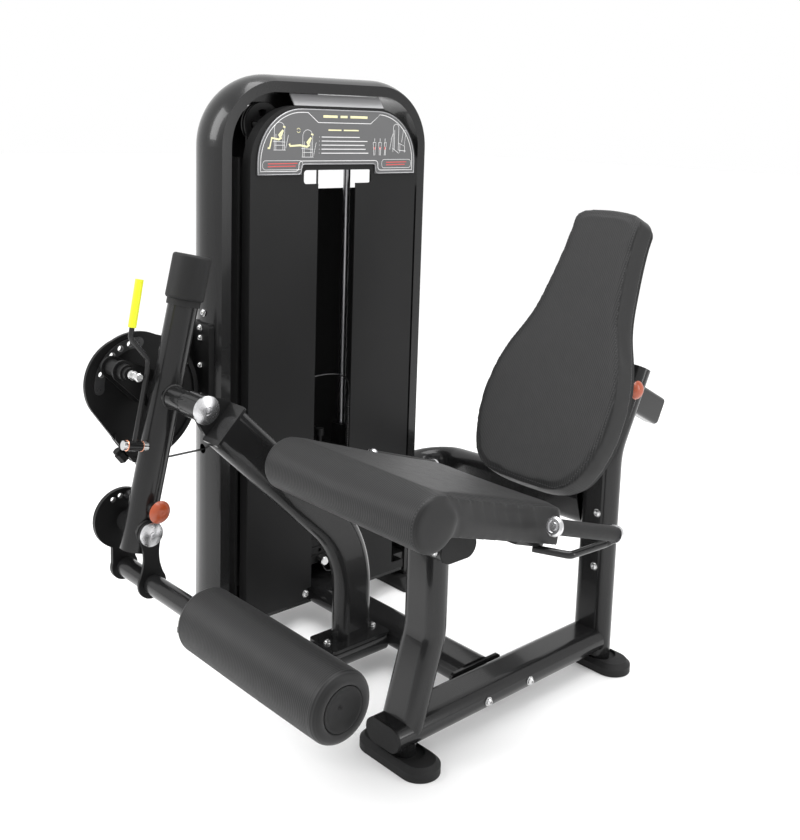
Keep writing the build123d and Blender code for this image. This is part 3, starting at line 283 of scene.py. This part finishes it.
def glossy(name, dark, light, low, high):
    """Smooth coloured plastic or ink with a light clear coat."""
    p = Paint(name)
    p.colour(p.mix(p.noise(30, 4), dark, light))
    p.set({"Coat Weight": 0.3, "Coat Roughness": 0.2})
    p.rough(p.noise(90, 3), low, high)
    p.bump(p.noise(200, 3), 0.00012, 0.3)
    return p.mat


MATERIALS = {
    "frame_paint": powder_coat("graphite_powder_coat", 0.011, 0.014, 0.15, 0.22, 0.29, 0.3, 0.2),
    "black_sheet": powder_coat("black_powder_coat", 0.006, 0.009, 0.05, 0.34, 0.44, 0.03, 0.14),
    # The 0.42 grey on the shroud's sloped lip is partly painted light from above.
    "shroud_black": sheet_with_lit_lip("satin_black_sheet", 0.009, 0.012, 0.42, 1.4335),
    "sign_face": satin_plastic("sign_grey", 0.094, 0.104, 0.4, 0.5, 1500, 0.00002, 0.4),
    "rubber_black": satin_plastic("moulded_rubber", 0.010, 0.015, 0.5, 0.66, 900, 0.0002),
    "chrome": bare_metal("satin_chrome", (0.36, 0.36, 0.37), (0.42, 0.42, 0.43), 0.26, 0.34),
    "zinc": bare_metal("bright_zinc", (0.62, 0.62, 0.62), (0.72, 0.72, 0.72), 0.2, 0.3),
    "stack_black": satin_plastic("cast_iron_paint", 0.006, 0.010, 0.4, 0.55, 400, 0.0002, 0.18),
    "pulley_plastic": satin_plastic("nylon_black", 0.007, 0.011, 0.35, 0.48),
    "cable_black": glossy("coated_cable", grey(0.020), grey(0.028), 0.2, 0.28),
    "vinyl": ribbed_vinyl("ribbed_vinyl"),
    "board_black": satin_plastic("black_board", 0.006, 0.010, 0.45, 0.6, 500, 0.0002, 0.18),
    "grip_black": satin_plastic("grip_rubber", 0.009, 0.014, 0.5, 0.62, 900, 0.0002),
    "silver_cap": bare_metal("turned_aluminium", (0.58, 0.58, 0.59), (0.63, 0.63, 0.64), 0.24, 0.29),
    "yellow_vinyl": glossy("yellow_vinyl", (0.62, 0.65, 0.0), (0.69, 0.72, 0.005), 0.38, 0.48),
    "orange_knob": glossy("orange_plastic", (0.29, 0.042, 0.006), (0.35, 0.056, 0.010), 0.3, 0.42),
    "strip_grey": powder_coat("strip_grey", 0.040, 0.050, 0.6, 0.34, 0.44, 0.1, 0.4),
    "foam_vinyl": ribbed_vinyl("ribbed_vinyl_roller"),
}
SIDE_WALL = textured_sheet("woven_black_wall")
COPPER = bare_metal("copper", (0.75, 0.32, 0.20), (0.85, 0.42, 0.28), 0.2, 0.32)
WELD = bare_metal("painted_weld", (0.03, 0.03, 0.03), (0.06, 0.06, 0.06), 0.35, 0.5)
INK_WHITE = glossy("ink_white", (0.72, 0.72, 0.72), (0.80, 0.80, 0.80), 0.4, 0.5)
INK_CREAM = glossy("ink_cream", (0.72, 0.68, 0.38), (0.78, 0.74, 0.44), 0.4, 0.5)
INK_RED = glossy("ink_red", (0.50, 0.05, 0.05), (0.58, 0.07, 0.06), 0.4, 0.5)
RIM = bare_metal("sign_rim", (0.30, 0.30, 0.31), (0.42, 0.42, 0.43), 0.25, 0.35)
THREAD = satin_plastic("thread", 0.04, 0.06, 0.5, 0.6, 2000, 0.00002)

slot_of = {part["node"]: part["material_slot"] for part in frame["record"]["subparts"]}
for node_name, node in nodes.items():
    for material_slot in node.material_slots:
        coat = SIDE_WALL if node_name == "rear_shroud" else MATERIALS[slot_of[node_name]]
        material_slot.material = coat


# Mesh helpers

def new_object(name, mesh, material, body):
    obj = bpy.data.objects.new(name, mesh)
    bpy.context.collection.objects.link(obj)
    obj.data.materials.clear()
    obj.data.materials.append(material)
    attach(obj, body)
    return obj


def smooth(mesh):
    mesh.polygons.foreach_set("use_smooth", [True] * len(mesh.polygons))
    mesh.update()
    return mesh


def mesh_of(name, points, faces):
    mesh = bpy.data.meshes.new(name)
    mesh.from_pydata([tuple(p) for p in points], [], faces)
    return smooth(mesh)


def lathe(name, profile, start, axis, segments=72):
    """A closed ring of revolution: profile is (along, radius) in mm, from start along axis."""
    axis = Vector(axis).normalized()
    side = axis.orthogonal().normalized()
    other = axis.cross(side)
    points = []
    for i in range(segments):
        a = 2 * pi * i / segments
        out = side * cos(a) + other * sin(a)
        points += [start + (axis * u + out * r) / 1000 for u, r in profile]
    n = len(profile)
    faces = []
    for i in range(segments):
        j = (i + 1) % segments
        faces += [(i * n + k, i * n + (k + 1) % n, j * n + (k + 1) % n, j * n + k) for k in range(n)]
    return mesh_of(name, points, faces)


def spline_mesh(name, paths, radius, cyclic=False, resolution=2):
    """Round lines along paths of points in metres, as one mesh."""
    curve = bpy.data.curves.new(name, "CURVE")
    curve.dimensions = "3D"
    curve.bevel_depth = radius
    curve.bevel_resolution = resolution
    curve.use_fill_caps = True
    for path in paths:
        spline = curve.splines.new("POLY")
        spline.points.add(len(path) - 1)
        for point, p in zip(spline.points, path):
            point.co = (*p, 1)
        spline.use_cyclic_u = cyclic
    holder = bpy.data.objects.new(name, curve)
    mesh = bpy.data.meshes.new_from_object(holder)
    bpy.data.objects.remove(holder)
    return smooth(mesh)


# Coiled lanyard of the stack's pin

COIL = Vector((-398.0, 112.0, 0.0))
COIL_TOP, COIL_FOOT = 640.0, 330.0
CORD_D = 4.0
HELIX_R = 7.25
TURNS = 58
HIGH_LEAD = [
    (-398, -60, 697), (-398, -20, 703), (-398, 20, 704), (-398, 60, 700), (-398, 90, 690),
    (-398, 109, 668),
]
LOW_LEAD = [
    (-398, 111, 285), (-398, 113, 240), (-398, 110, 195), (-398, 98, 155), (-398, 74, 126),
    (-398, 45, 122), (-398, 30, 138), (-398, 27, 148.6),
]


def read_route(points):
    """Points read from the NURBS line through the route's control points."""
    curve = bpy.data.curves.new("lanyard_route", "CURVE")
    curve.dimensions = "3D"
    spline = curve.splines.new("NURBS")
    spline.points.add(len(points) - 1)
    for point, p in zip(spline.points, points):
        point.co = (*at(*p), 1)
    spline.order_u = 3
    spline.use_endpoint_u = True
    spline.resolution_u = 24
    holder = bpy.data.objects.new("lanyard_route", curve)
    mesh = bpy.data.meshes.new_from_object(holder)
    line = [v.co.copy() for v in mesh.vertices]
    bpy.data.objects.remove(holder)
    bpy.data.meshes.remove(mesh)
    return line


def make_lanyard():
    route = [*HIGH_LEAD, (-398, 112, COIL_TOP), (-398, 112, COIL_FOOT), *LOW_LEAD]
    line = read_route(route)
    top, foot = at(0, 0, COIL_TOP - 6).z, at(0, 0, COIL_FOOT + 6).z
    centre = at(COIL.x, COIL.y, 0)
    upper = [p for p in line if p.z > top]
    lower = [p for p in line if p.z < foot]
    steps = TURNS * 14
    helix = []
    for i in range(steps + 1):
        t = i / steps
        a = 2 * pi * TURNS * t
        r = HELIX_R / 1000 * min(1.0, 9 * t, 9 * (1 - t)) ** 0.5 if 0 < t < 1 else 0.0
        helix.append(Vector((centre.x + r * cos(a), centre.y + r * sin(a), top + (foot - top) * t)))
    points = [*upper, *helix[1:-1], *lower]
    curve = bpy.data.curves.new("lanyard", "CURVE")
    curve.dimensions = "3D"
    curve.bevel_depth = CORD_D / 2000
    curve.bevel_resolution = 3
    curve.use_fill_caps = True
    spline = curve.splines.new("NURBS")
    spline.points.add(len(points) - 1)
    for point, p in zip(spline.points, points):
        point.co = (*p, 1)
    spline.order_u = 3
    spline.use_endpoint_u = True
    spline.resolution_u = 2
    curve.materials.append(MATERIALS["cable_black"])
    cord = bpy.data.objects.new("lanyard", curve)
    bpy.context.collection.objects.link(cord)
    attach(cord, "root")
    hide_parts("pin_lanyard")


make_lanyard()


# Floor and light

FLOOR_HALF = 30
FLOOR_Z = -0.001


def make_stage():
    mesh = bpy.data.meshes.new("floor")
    corners = [(x, y, FLOOR_Z) for x, y in ((-1, -1), (1, -1), (1, 1), (-1, 1))]
    corners = [(x * FLOOR_HALF, y * FLOOR_HALF, z) for x, y, z in corners]
    mesh.from_pydata(corners, [], [(0, 1, 2, 3)])
    floor = bpy.data.objects.new("floor", mesh)
    bpy.context.collection.objects.link(floor)
    p = Paint("studio_floor")
    p.colour(p.mix(p.noise(0.5, 2), (0.84, 0.84, 0.84), (0.86, 0.86, 0.86)))
    p.set({"Roughness": 0.6, "Specular IOR Level": 0.1})
    p.set({"Emission Color": (1, 1, 1, 1), "Emission Strength": 0.16})
    mesh.materials.append(p.mat)

    world = bpy.data.worlds.new("studio")
    bpy.context.scene.world = world
    world.use_nodes = True
    background = world.node_tree.nodes["Background"]
    background.inputs["Color"].default_value = (1, 1, 1, 1)
    background.inputs["Strength"].default_value = 1.0


def area_light(name, place, aim, size, power):
    data = bpy.data.lights.new(name, "AREA")
    data.shape = "RECTANGLE"
    data.size, data.size_y = size
    data.energy = power
    light = bpy.data.objects.new(name, data)
    bpy.context.collection.objects.link(light)
    light.location = place
    light.rotation_mode = "QUATERNION"
    light.rotation_quaternion = (Vector(aim) - Vector(place)).to_track_quat("-Z", "Y")


make_stage()
area_light("key", (-1.6, -3.2, 2.9), (0, 0, 0.7), (1.4, 2.6), 100)
area_light("top", (0.2, 0.2, 3.6), (0, 0, 0.5), (2.6, 2.6), 110)
area_light("edge", (3.2, 1.6, 1.8), (0, 0, 0.8), (0.7, 2.4), 35)
bpy.context.scene.view_settings.view_transform = "Standard"


# Cushions

VOXEL = 0.0045
SHRINK = 0.003
ROUNDING = 9
PUFF_CAP = 0.006
CLOTH_STEPS = 20
EASE_ROUNDS = 40


def soft_copy(name, source):
    """The source node remeshed evenly, with rounded edges, a little smaller than it."""
    mesh = nodes[source].data.copy()
    obj = bpy.data.objects.new(name, mesh)
    bpy.context.collection.objects.link(obj)
    remesh = obj.modifiers.new("remesh", "REMESH")
    remesh.mode = "VOXEL"
    remesh.voxel_size = VOXEL
    ease = obj.modifiers.new("ease", "SMOOTH")
    ease.factor = 0.5
    ease.iterations = ROUNDING
    less = obj.modifiers.new("less", "DISPLACE")
    less.mid_level = 0.0
    less.strength = -SHRINK
    graph = bpy.context.evaluated_depsgraph_get()
    result = bpy.data.meshes.new_from_object(obj.evaluated_get(graph))
    obj.modifiers.clear()
    obj.data = result
    bpy.data.meshes.remove(mesh)
    result.name = name
    return obj


def eased(field, mesh, rounds):
    """A value at each vertex, spread over its neighbours so that no wrinkle is left."""
    edges = np.empty(len(mesh.edges) * 2, dtype=np.int64)
    mesh.edges.foreach_get("vertices", edges)
    a, b = edges.reshape(-1, 2).T
    count = len(field)
    near = np.bincount(a, minlength=count) + np.bincount(b, minlength=count)
    near = np.maximum(near, 1)[:, None]
    for _ in range(rounds):
        total = np.zeros_like(field)
        np.add.at(total, a, field[b])
        np.add.at(total, b, field[a])
        field = 0.5 * field + 0.5 * total / near
    return field


def puff(obj, held):
    """Blows the cushion up with cloth simulation; vertices whose normal passes held() stay put."""
    mesh = obj.data
    rest = np.empty(len(mesh.vertices) * 3)
    mesh.vertices.foreach_get("co", rest)
    rest = rest.reshape(-1, 3)
    group = obj.vertex_groups.new(name="held")
    group.add([v.index for v in mesh.vertices if held(v)], 1.0, "REPLACE")
    cloth = obj.modifiers.new("cloth", "CLOTH")
    cloth.settings.quality = 5
    cloth.settings.mass = 0.3
    cloth.settings.tension_stiffness = 18
    cloth.settings.compression_stiffness = 18
    cloth.settings.shear_stiffness = 8
    cloth.settings.bending_stiffness = 15
    cloth.settings.use_pressure = True
    cloth.settings.uniform_pressure_force = 4.0
    cloth.settings.effector_weights.gravity = 0
    cloth.settings.vertex_group_mass = "held"
    cloth.collision_settings.use_collision = False
    scene = bpy.context.scene
    for frame_number in range(1, CLOTH_STEPS + 1):
        scene.frame_set(frame_number)
    graph = bpy.context.evaluated_depsgraph_get()
    moved = bpy.data.meshes.new_from_object(obj.evaluated_get(graph))
    co = np.empty(len(moved.vertices) * 3)
    moved.vertices.foreach_get("co", co)
    bpy.data.meshes.remove(moved)
    step = eased(co.reshape(-1, 3) - rest, mesh, EASE_ROUNDS)
    far = np.linalg.norm(step, axis=1, keepdims=True)
    step *= np.minimum(1.0, PUFF_CAP / np.maximum(far, 1e-9))
    obj.modifiers.clear()
    obj.vertex_groups.clear()
    mesh.vertices.foreach_set("co", (rest + step).ravel())
    scene.frame_set(1)


def finish_pad(obj, body, slot, source):
    obj.data.materials.clear()
    obj.data.materials.append(MATERIALS[slot])
    smooth(obj.data)
    sub = obj.modifiers.new("smooth", "SUBSURF")
    sub.levels = 1
    sub.render_levels = 1
    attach(obj, body)
    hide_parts(source)


STITCH = 4.6
STITCH_GAP = 2.6
SEAM_SINK = 0.0004


def stitches(name, pad, path, body):
    """A row of thread stitches and its seam line, laid on the pad along a path in metres."""
    tree = BVHTree.FromObject(pad, bpy.context.evaluated_depsgraph_get())
    fine = []
    for a, b in zip(path, path[1:]):
        count = max(1, int((b - a).length / 0.0012))
        fine += [a.lerp(b, i / count) for i in range(count)]
    hits = [tree.find_nearest(p) for p in fine]
    line = [h[0] - h[1] * SEAM_SINK for h in hits]
    runs, run, travelled = [], [], 0.0
    for p, q in zip(line, line[1:]):
        travelled += (q - p).length * 1000
        if travelled % (STITCH + STITCH_GAP) < STITCH:
            run.append(p)
        elif run:
            runs.append(run)
            run = []
    runs = [r for r in runs if len(r) > 1]
    mesh = spline_mesh(name, runs, 0.0009, resolution=1)
    new_object(name, mesh, THREAD, body)
    seam = spline_mesh(name + "_line", [line[::2]], 0.0007, resolution=1)
    new_object(name + "_line", seam, MATERIALS["board_black"], body)


SEAT_TILT = 18.6
SEAT_SLOPE = 0.33654
SEAT_X = 260.0
ROLL = (-428.0, 652.0, 61.0)


def seat_half_width(y):
    return float(np.interp(y, [-395, -290, -150, -13], [240, 228, 213, 205]))


def seat_edge(side):
    """The top edge of the seat's side panel, from the rear and round the front roll."""
    y0, z0, r = ROLL
    points = []
    for i in range(12):
        y = 5 - i * 34
        points.append((SEAT_X + side * (seat_half_width(y) - 9), y, 573 + (17 - y) * SEAT_SLOPE))
    for i in range(12):
        a = radians(90 + SEAT_TILT - 4 + i * 20)
        points.append((SEAT_X + side * 231, y0 + r * cos(a), z0 + r * sin(a)))
    return [at(*p) for p in points]


def make_seat():
    pad = soft_copy("seat_cushion", "seat_pad")
    puff(pad, lambda v: v.normal.z < -0.72 and v.co.y > at(0, -380, 0).y)
    finish_pad(pad, "root", "vinyl", "seat_pad")
    for side, name in ((-1, "seat_seam_left"), (1, "seat_seam_right")):
        stitches(name, pad, seat_edge(side), "root")


BACK_LEAN = radians(25.5)
BACK_FOOT = (74.0, 550.0)
BACK_X = 258.0
BACK_HALF = [
    (0, 13), (70, 15), (118, 26), (152, 50), (186, 116), (200, 200), (193, 285), (173, 355),
    (141, 430), (119, 530), (107, 620), (104, 692), (86, 715), (50, 724), (0, 727),
]


def back_at(x, up, out):
    """A point on the backrest: x across, up its front face, and out to the front."""
    y = BACK_FOOT[0] + up * sin(BACK_LEAN) - out * cos(BACK_LEAN)
    z = BACK_FOOT[1] + up * cos(BACK_LEAN) + out * sin(BACK_LEAN)
    return at(BACK_X + x, y, z)


def back_seam(inset, out):
    right = [(max(x - inset, 0), up) for x, up in BACK_HALF[2:-2]]
    left = [(-x, up) for x, up in right[::-1]]
    low, high = 16 + inset, 722 - inset
    ring = [(0, low), *right, (0, high), *left, (0, low)]
    return [back_at(x, min(max(up, low), high), out) for x, up in ring]


def make_back():
    pad = soft_copy("back_cushion", "backrest_pad")
    rear = Vector((0, cos(BACK_LEAN), -sin(BACK_LEAN)))
    puff(pad, lambda v: v.normal.dot(rear) > 0.75)
    finish_pad(pad, "backrest", "vinyl", "backrest_pad")
    stitches("back_seam", pad, back_seam(13, 3), "backrest")
    stitches("back_rear_seam", pad, back_seam(-6, -52), "backrest")


ROLLER = (-38.0, 444.0, 73.0)
ROLLER_EDGE = 20.0
RIB = 5.2


def make_roller():
    """Ribbed foam roller with rounded ends, and the dished cap in its near end."""
    x0, x1, radius = ROLLER
    start = at(x0, -596, 317.5)
    long = x1 - x0
    edge = ROLLER_EDGE
    quarter = np.linspace(0, pi / 2, 9)
    profile = [(1.2, 20.4), (0.2, 30), (0.0, 42)]
    profile += [(edge - edge * cos(a), radius - edge + edge * sin(a)) for a in quarter]
    ribs = int((long - 2 * edge) / RIB)
    for i in range(ribs * 6):
        u = edge + (long - 2 * edge) * (i + 1) / (ribs * 6 + 1)
        crown = 0.8 * sin(pi * (u - edge) / (long - 2 * edge))
        profile.append((u, radius - 0.45 + crown - 0.35 * cos(2 * pi * i / 6)))
    profile += [(long - edge + edge * sin(a), radius - edge + edge * cos(a)) for a in quarter]
    profile += [(long - 1.2, 49), (long - 3, 47), (long - 14.4, 46.6), (long - 14.6, 20.4)]
    foam = lathe("foam_roller", profile, start, (1, 0, 0), 128)
    roller = new_object("foam_roller", foam, MATERIALS["foam_vinyl"], "roller")
    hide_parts("ankle_roller")
    cap = [
        (1, 12.4), (1, 19.8), (long - 15, 19.8), (long - 14.2, 22), (long - 14.2, 46),
        (long - 3.2, 46.2), (long - 2, 45), (long - 2, 42.5), (long - 3.2, 40.5),
        (long - 6.5, 36), (long - 9.5, 29), (long - 11.6, 19), (long - 12.4, 9),
        (long - 12.6, 0.6), (long - 13.3, 0.6), (long - 13.4, 12.4),
    ]
    dish = lathe("roller_cap", cap, start, (1, 0, 0), 96)
    core = new_object("roller_cap", dish, MATERIALS["board_black"], "roller")
    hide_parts("roller_core")


make_seat()
make_back()
make_roller()


# Sign on the front shroud

SIGN_X = -362.0


def sign_point(y, z):
    return at(SIGN_X, y, z)


def arc(y, z, r, start, end, count=10):
    """Points on an arc round (y, z) between two angles in degrees."""
    turns = [radians(start + (end - start) * i / count) for i in range(count + 1)]
    return [(y + r * cos(a), z + r * sin(a)) for a in turns]


def print_lines(name, paths, width, ink, cyclic=False, raised=0.12):
    """Lines printed on the sign: nearly flat strokes of that width, in mm."""
    lines = [[sign_point(y, z) for y, z in path] for path in paths]
    mesh = spline_mesh(name, lines, width / 2000, cyclic, 2)
    face = at(SIGN_X, 0, 0).x
    co = np.empty(len(mesh.vertices) * 3)
    mesh.vertices.foreach_get("co", co)
    co = co.reshape(-1, 3)
    flat = raised / (width / 2)
    co[:, 0] = face + 0.00005 + (co[:, 0] - face) * flat
    mesh.vertices.foreach_set("co", co.ravel())
    return new_object(name, mesh, ink, "root")


def sign_outline(inset):
    """The sign's arch with the notch over the window, inset from its edge."""
    k = inset
    y0, y1, z0, z1 = -236 + k, 300 - k, 1257 + k, 1425 - k
    r = 138 - k
    n0, n1, top = -98 - k, 155 + k, 1283 + k
    outline = [(y0, z0), (n0 - 10, z0), *arc(n0 - 10, z0 + 10, 10, -90, 0, 4)[1:], (n0, top - 10)]
    outline += [*arc(n0 + 10, top - 10, 10, 180, 90, 4)[1:], (n1 - 10, top)]
    outline += arc(n1 - 10, top - 10, 10, 90, 0, 4)[1:]
    outline += [*arc(n1 + 10, z0 + 10, 10, 180, 270, 4), (y1, z0), (y1, z1 - r)]
    outline += arc(y1 - r, z1 - r, r, 0, 90, 16)[1:]
    return outline, (y0, z1, r)


def make_sign():
    edge, (y0, z1, r) = sign_outline(1.0)
    rim = edge + [(y0 + r, z1), *arc(y0 + r, z1 - r, r, 90, 180, 16)[1:]]
    print_lines("sign_rim", [rim], 3.2, RIM, cyclic=True, raised=0.9)
    edge, (y0, z1, r) = sign_outline(9.0)
    step = [(168, z1), (134, 1391), (-46, 1391), (-80, z1)]
    inner = edge + step + [(y0 + r, z1), *arc(y0 + r, z1 - r, r, 90, 180, 16)[1:]]
    print_lines("sign_line", [inner], 1.7, INK_WHITE, cyclic=True)
    boxes = []
    for a, b, low, high in ((-221, -95, 1270, 1293), (178, 287, 1272, 1295)):
        q = 9
        right = [*arc(b - q, high - q, q, 90, 0, 5), *arc(b - q, low + q, q, 0, -90, 5)]
        left = [*arc(a + q, low + q, q, 270, 180, 5), *arc(a + q, high - q, q, 180, 90, 5)]
        boxes.append(right + left)
    print_lines("sign_boxes", boxes, 1.0, INK_WHITE, cyclic=True)
    red = [
        [(-205, 1285), (-112, 1286)], [(-205, 1278), (-118, 1279)],
        [(194, 1287), (270, 1288)], [(194, 1280), (264, 1281)],
    ]
    print_lines("sign_red_bars", red, 2.6, INK_RED)
    title = [[(a, 1407), (b, 1407)] for a, b in ((-30, 18), (28, 52), (62, 122))]
    print_lines("sign_title_bars", title, 6.5, INK_CREAM)
    heading = [[(-12, 1372), (32, 1372)], [(40, 1372), (92, 1372)]]
    print_lines("sign_heading_bars", heading, 3.6, INK_CREAM)
    levels = [1354 - 10.5 * i for i in range(5)]
    rows = [[(-34, z), (end, z)] for z, end in zip(levels, (96, 124, 114, 118, 128))]
    print_lines("sign_rows", rows, 2.0, INK_WHITE)
    print_lines("sign_dots", [[(-42, z), (-41, z)] for z in levels], 2.2, INK_WHITE)

    towers, limbs, heads = [], [], []
    for y, z, legs in ((-186, 1320, "down"), (-96, 1302, "out")):
        arch = [(y, z), (y, z + 54), *arc(y + 16, z + 54, 16, 180, 0, 8), (y + 32, z + 54), (y + 32, z)]
        towers += [
            arch, [(y + 5, z), (y + 5, z + 40)], [(y + 27, z), (y + 27, z + 40)],
            [(y - 2, z), (y + 36, z)], [(y + 2, z + 12), (y + 32, z + 12)],
            [(y + 36, z + 4), (y + 44, z + 38)], [(y - 4, z + 22), (y + 34, z + 20)],
        ]
        hip, neck = (y + 16, z + 26), (y + 27, z + 50)
        knee = (y - 8, z + 30)
        foot = (y - 14, z + 4) if legs == "down" else (y - 40, z + 28)
        toe = (foot[0] - 6, foot[1] + 1) if legs == "down" else (foot[0] - 3, foot[1] + 6)
        limbs += [[hip, neck], [hip, knee, foot, toe], [neck, (y + 14, z + 38), (y + 22, z + 28)]]
        heads.append([(neck[0] + 3, neck[1] + 6), (neck[0] + 4, neck[1] + 10)])
    print_lines("sign_towers", towers, 1.1, INK_WHITE)
    print_lines("sign_limbs", limbs, 5.2, INK_CREAM, raised=0.2)
    print_lines("sign_heads", heads, 8.0, INK_CREAM, raised=0.22)
    marks = [arc(-110, 1370, 5.5, a, a + 140) for a in (20, 200)]
    print_lines("sign_turn_marks", marks, 1.4, INK_CREAM)

    bodies, spots = [], []
    for i, y in enumerate((150, 170, 188)):
        lean = 3 if i == 2 else 0
        trunk = [(y - 5 + lean, 1341), (y + 5, 1341), (y + 4, 1326), (y - 4 + lean, 1326)]
        bodies += [
            [(y, 1352), (y, 1343)], [*trunk, trunk[0]],
            [(y - 3 + lean, 1326), (y - 2, 1306)], [(y + 3, 1326), (y + 2, 1306)],
        ]
        spots.append([(y, 1329), (y, 1322)])
    print_lines("sign_bodies", bodies, 1.3, INK_WHITE)
    print_lines("sign_spots", spots, 4.2, INK_RED, raised=0.2)

    y, z = 210, 1316
    crown = arc(y + 18, z + 66, 10, 180, 0, 6)
    plan = [
        [(y + 8, z), (y + 8, z + 66), *crown, (y + 28, z + 66), (y + 28, z + 4)],
        [(y + 28, z + 24), (y + 50, z + 16), (y + 56, z + 58), (y + 46, z + 60), (y + 40, z + 26)],
        [(y + 2, z + 34), (y - 4, z + 6)], [(y + 6, z + 10), (y + 30, z - 4)],
        [(y + 30, z + 4), (y + 56, z + 2)], [(y, z + 34), (y + 8, z + 50)],
        [(y + 13, z + 8), (y + 13, z + 60)], [(y + 34, z + 20), (y + 34, z - 2)],
        [(y + 52, z + 16), (y + 52, z - 2)],
    ]
    print_lines("sign_machine", plan, 1.2, INK_WHITE)


make_sign()


# Small metal details

LEVER_TILT = radians(12.84)


def lever_point(along, out=0.0, x=-310.0):
    y = -529 + along * sin(LEVER_TILT) - out * cos(LEVER_TILT)
    z = 752 + along * cos(LEVER_TILT) + out * sin(LEVER_TILT)
    return at(x, y, z)


def ring_profile(inner, outer, low, high, corner):
    return [
        (low, inner), (low, outer - corner), (low + corner, outer), (high - corner, outer),
        (high, outer - corner), (high, inner),
    ]


def make_washers():
    out = lever_point(-124, 1, -298) - lever_point(-124, 0, -298)
    for i, distance in enumerate((43.2, 82.1)):
        start = lever_point(-124, distance, -298)
        mesh = lathe(f"washer_{i}", ring_profile(6.2, 12.9, 0, 1.7, 0.4), start, out, 48)
        new_object(f"copper_washer_{i}", mesh, COPPER, "lever")


def weld_bead(name, centre, axis, radius, body):
    """A rippled weld bead round a hub."""
    size = 2.6
    axis = Vector(axis).normalized()
    side = axis.orthogonal().normalized()
    other = axis.cross(side)
    ring, fine = 168, 8
    points = []
    for i in range(ring):
        a = 2 * pi * i / ring
        out = side * cos(a) + other * sin(a)
        wander = noise.noise(Vector((3 * cos(a), 3 * sin(a), radius)))
        ripple = size * (1 + 0.16 * sin(a * 42) + 0.18 * wander)
        for k in range(fine):
            b = 2 * pi * k / fine
            points.append(centre + (out * (radius + ripple * cos(b)) + axis * ripple * sin(b)) / 1000)
    faces = []
    for i in range(ring):
        here, there = i * fine, (i + 1) % ring * fine
        for k in range(fine):
            after = (k + 1) % fine
            faces.append((here + k, here + after, there + after, there + k))
    new_object(name, mesh_of(name, points, faces), WELD, body)


make_washers()
weld_bead("weld_knee_hub", at(-273.5, -529, 752), (1, 0, 0), 27.6, "lever")
weld_bead("weld_ankle_hub", at(-273.5, -599.5, 440), (1, 0, 0), 26.6, "lever")


bpy.context.view_layer.update()
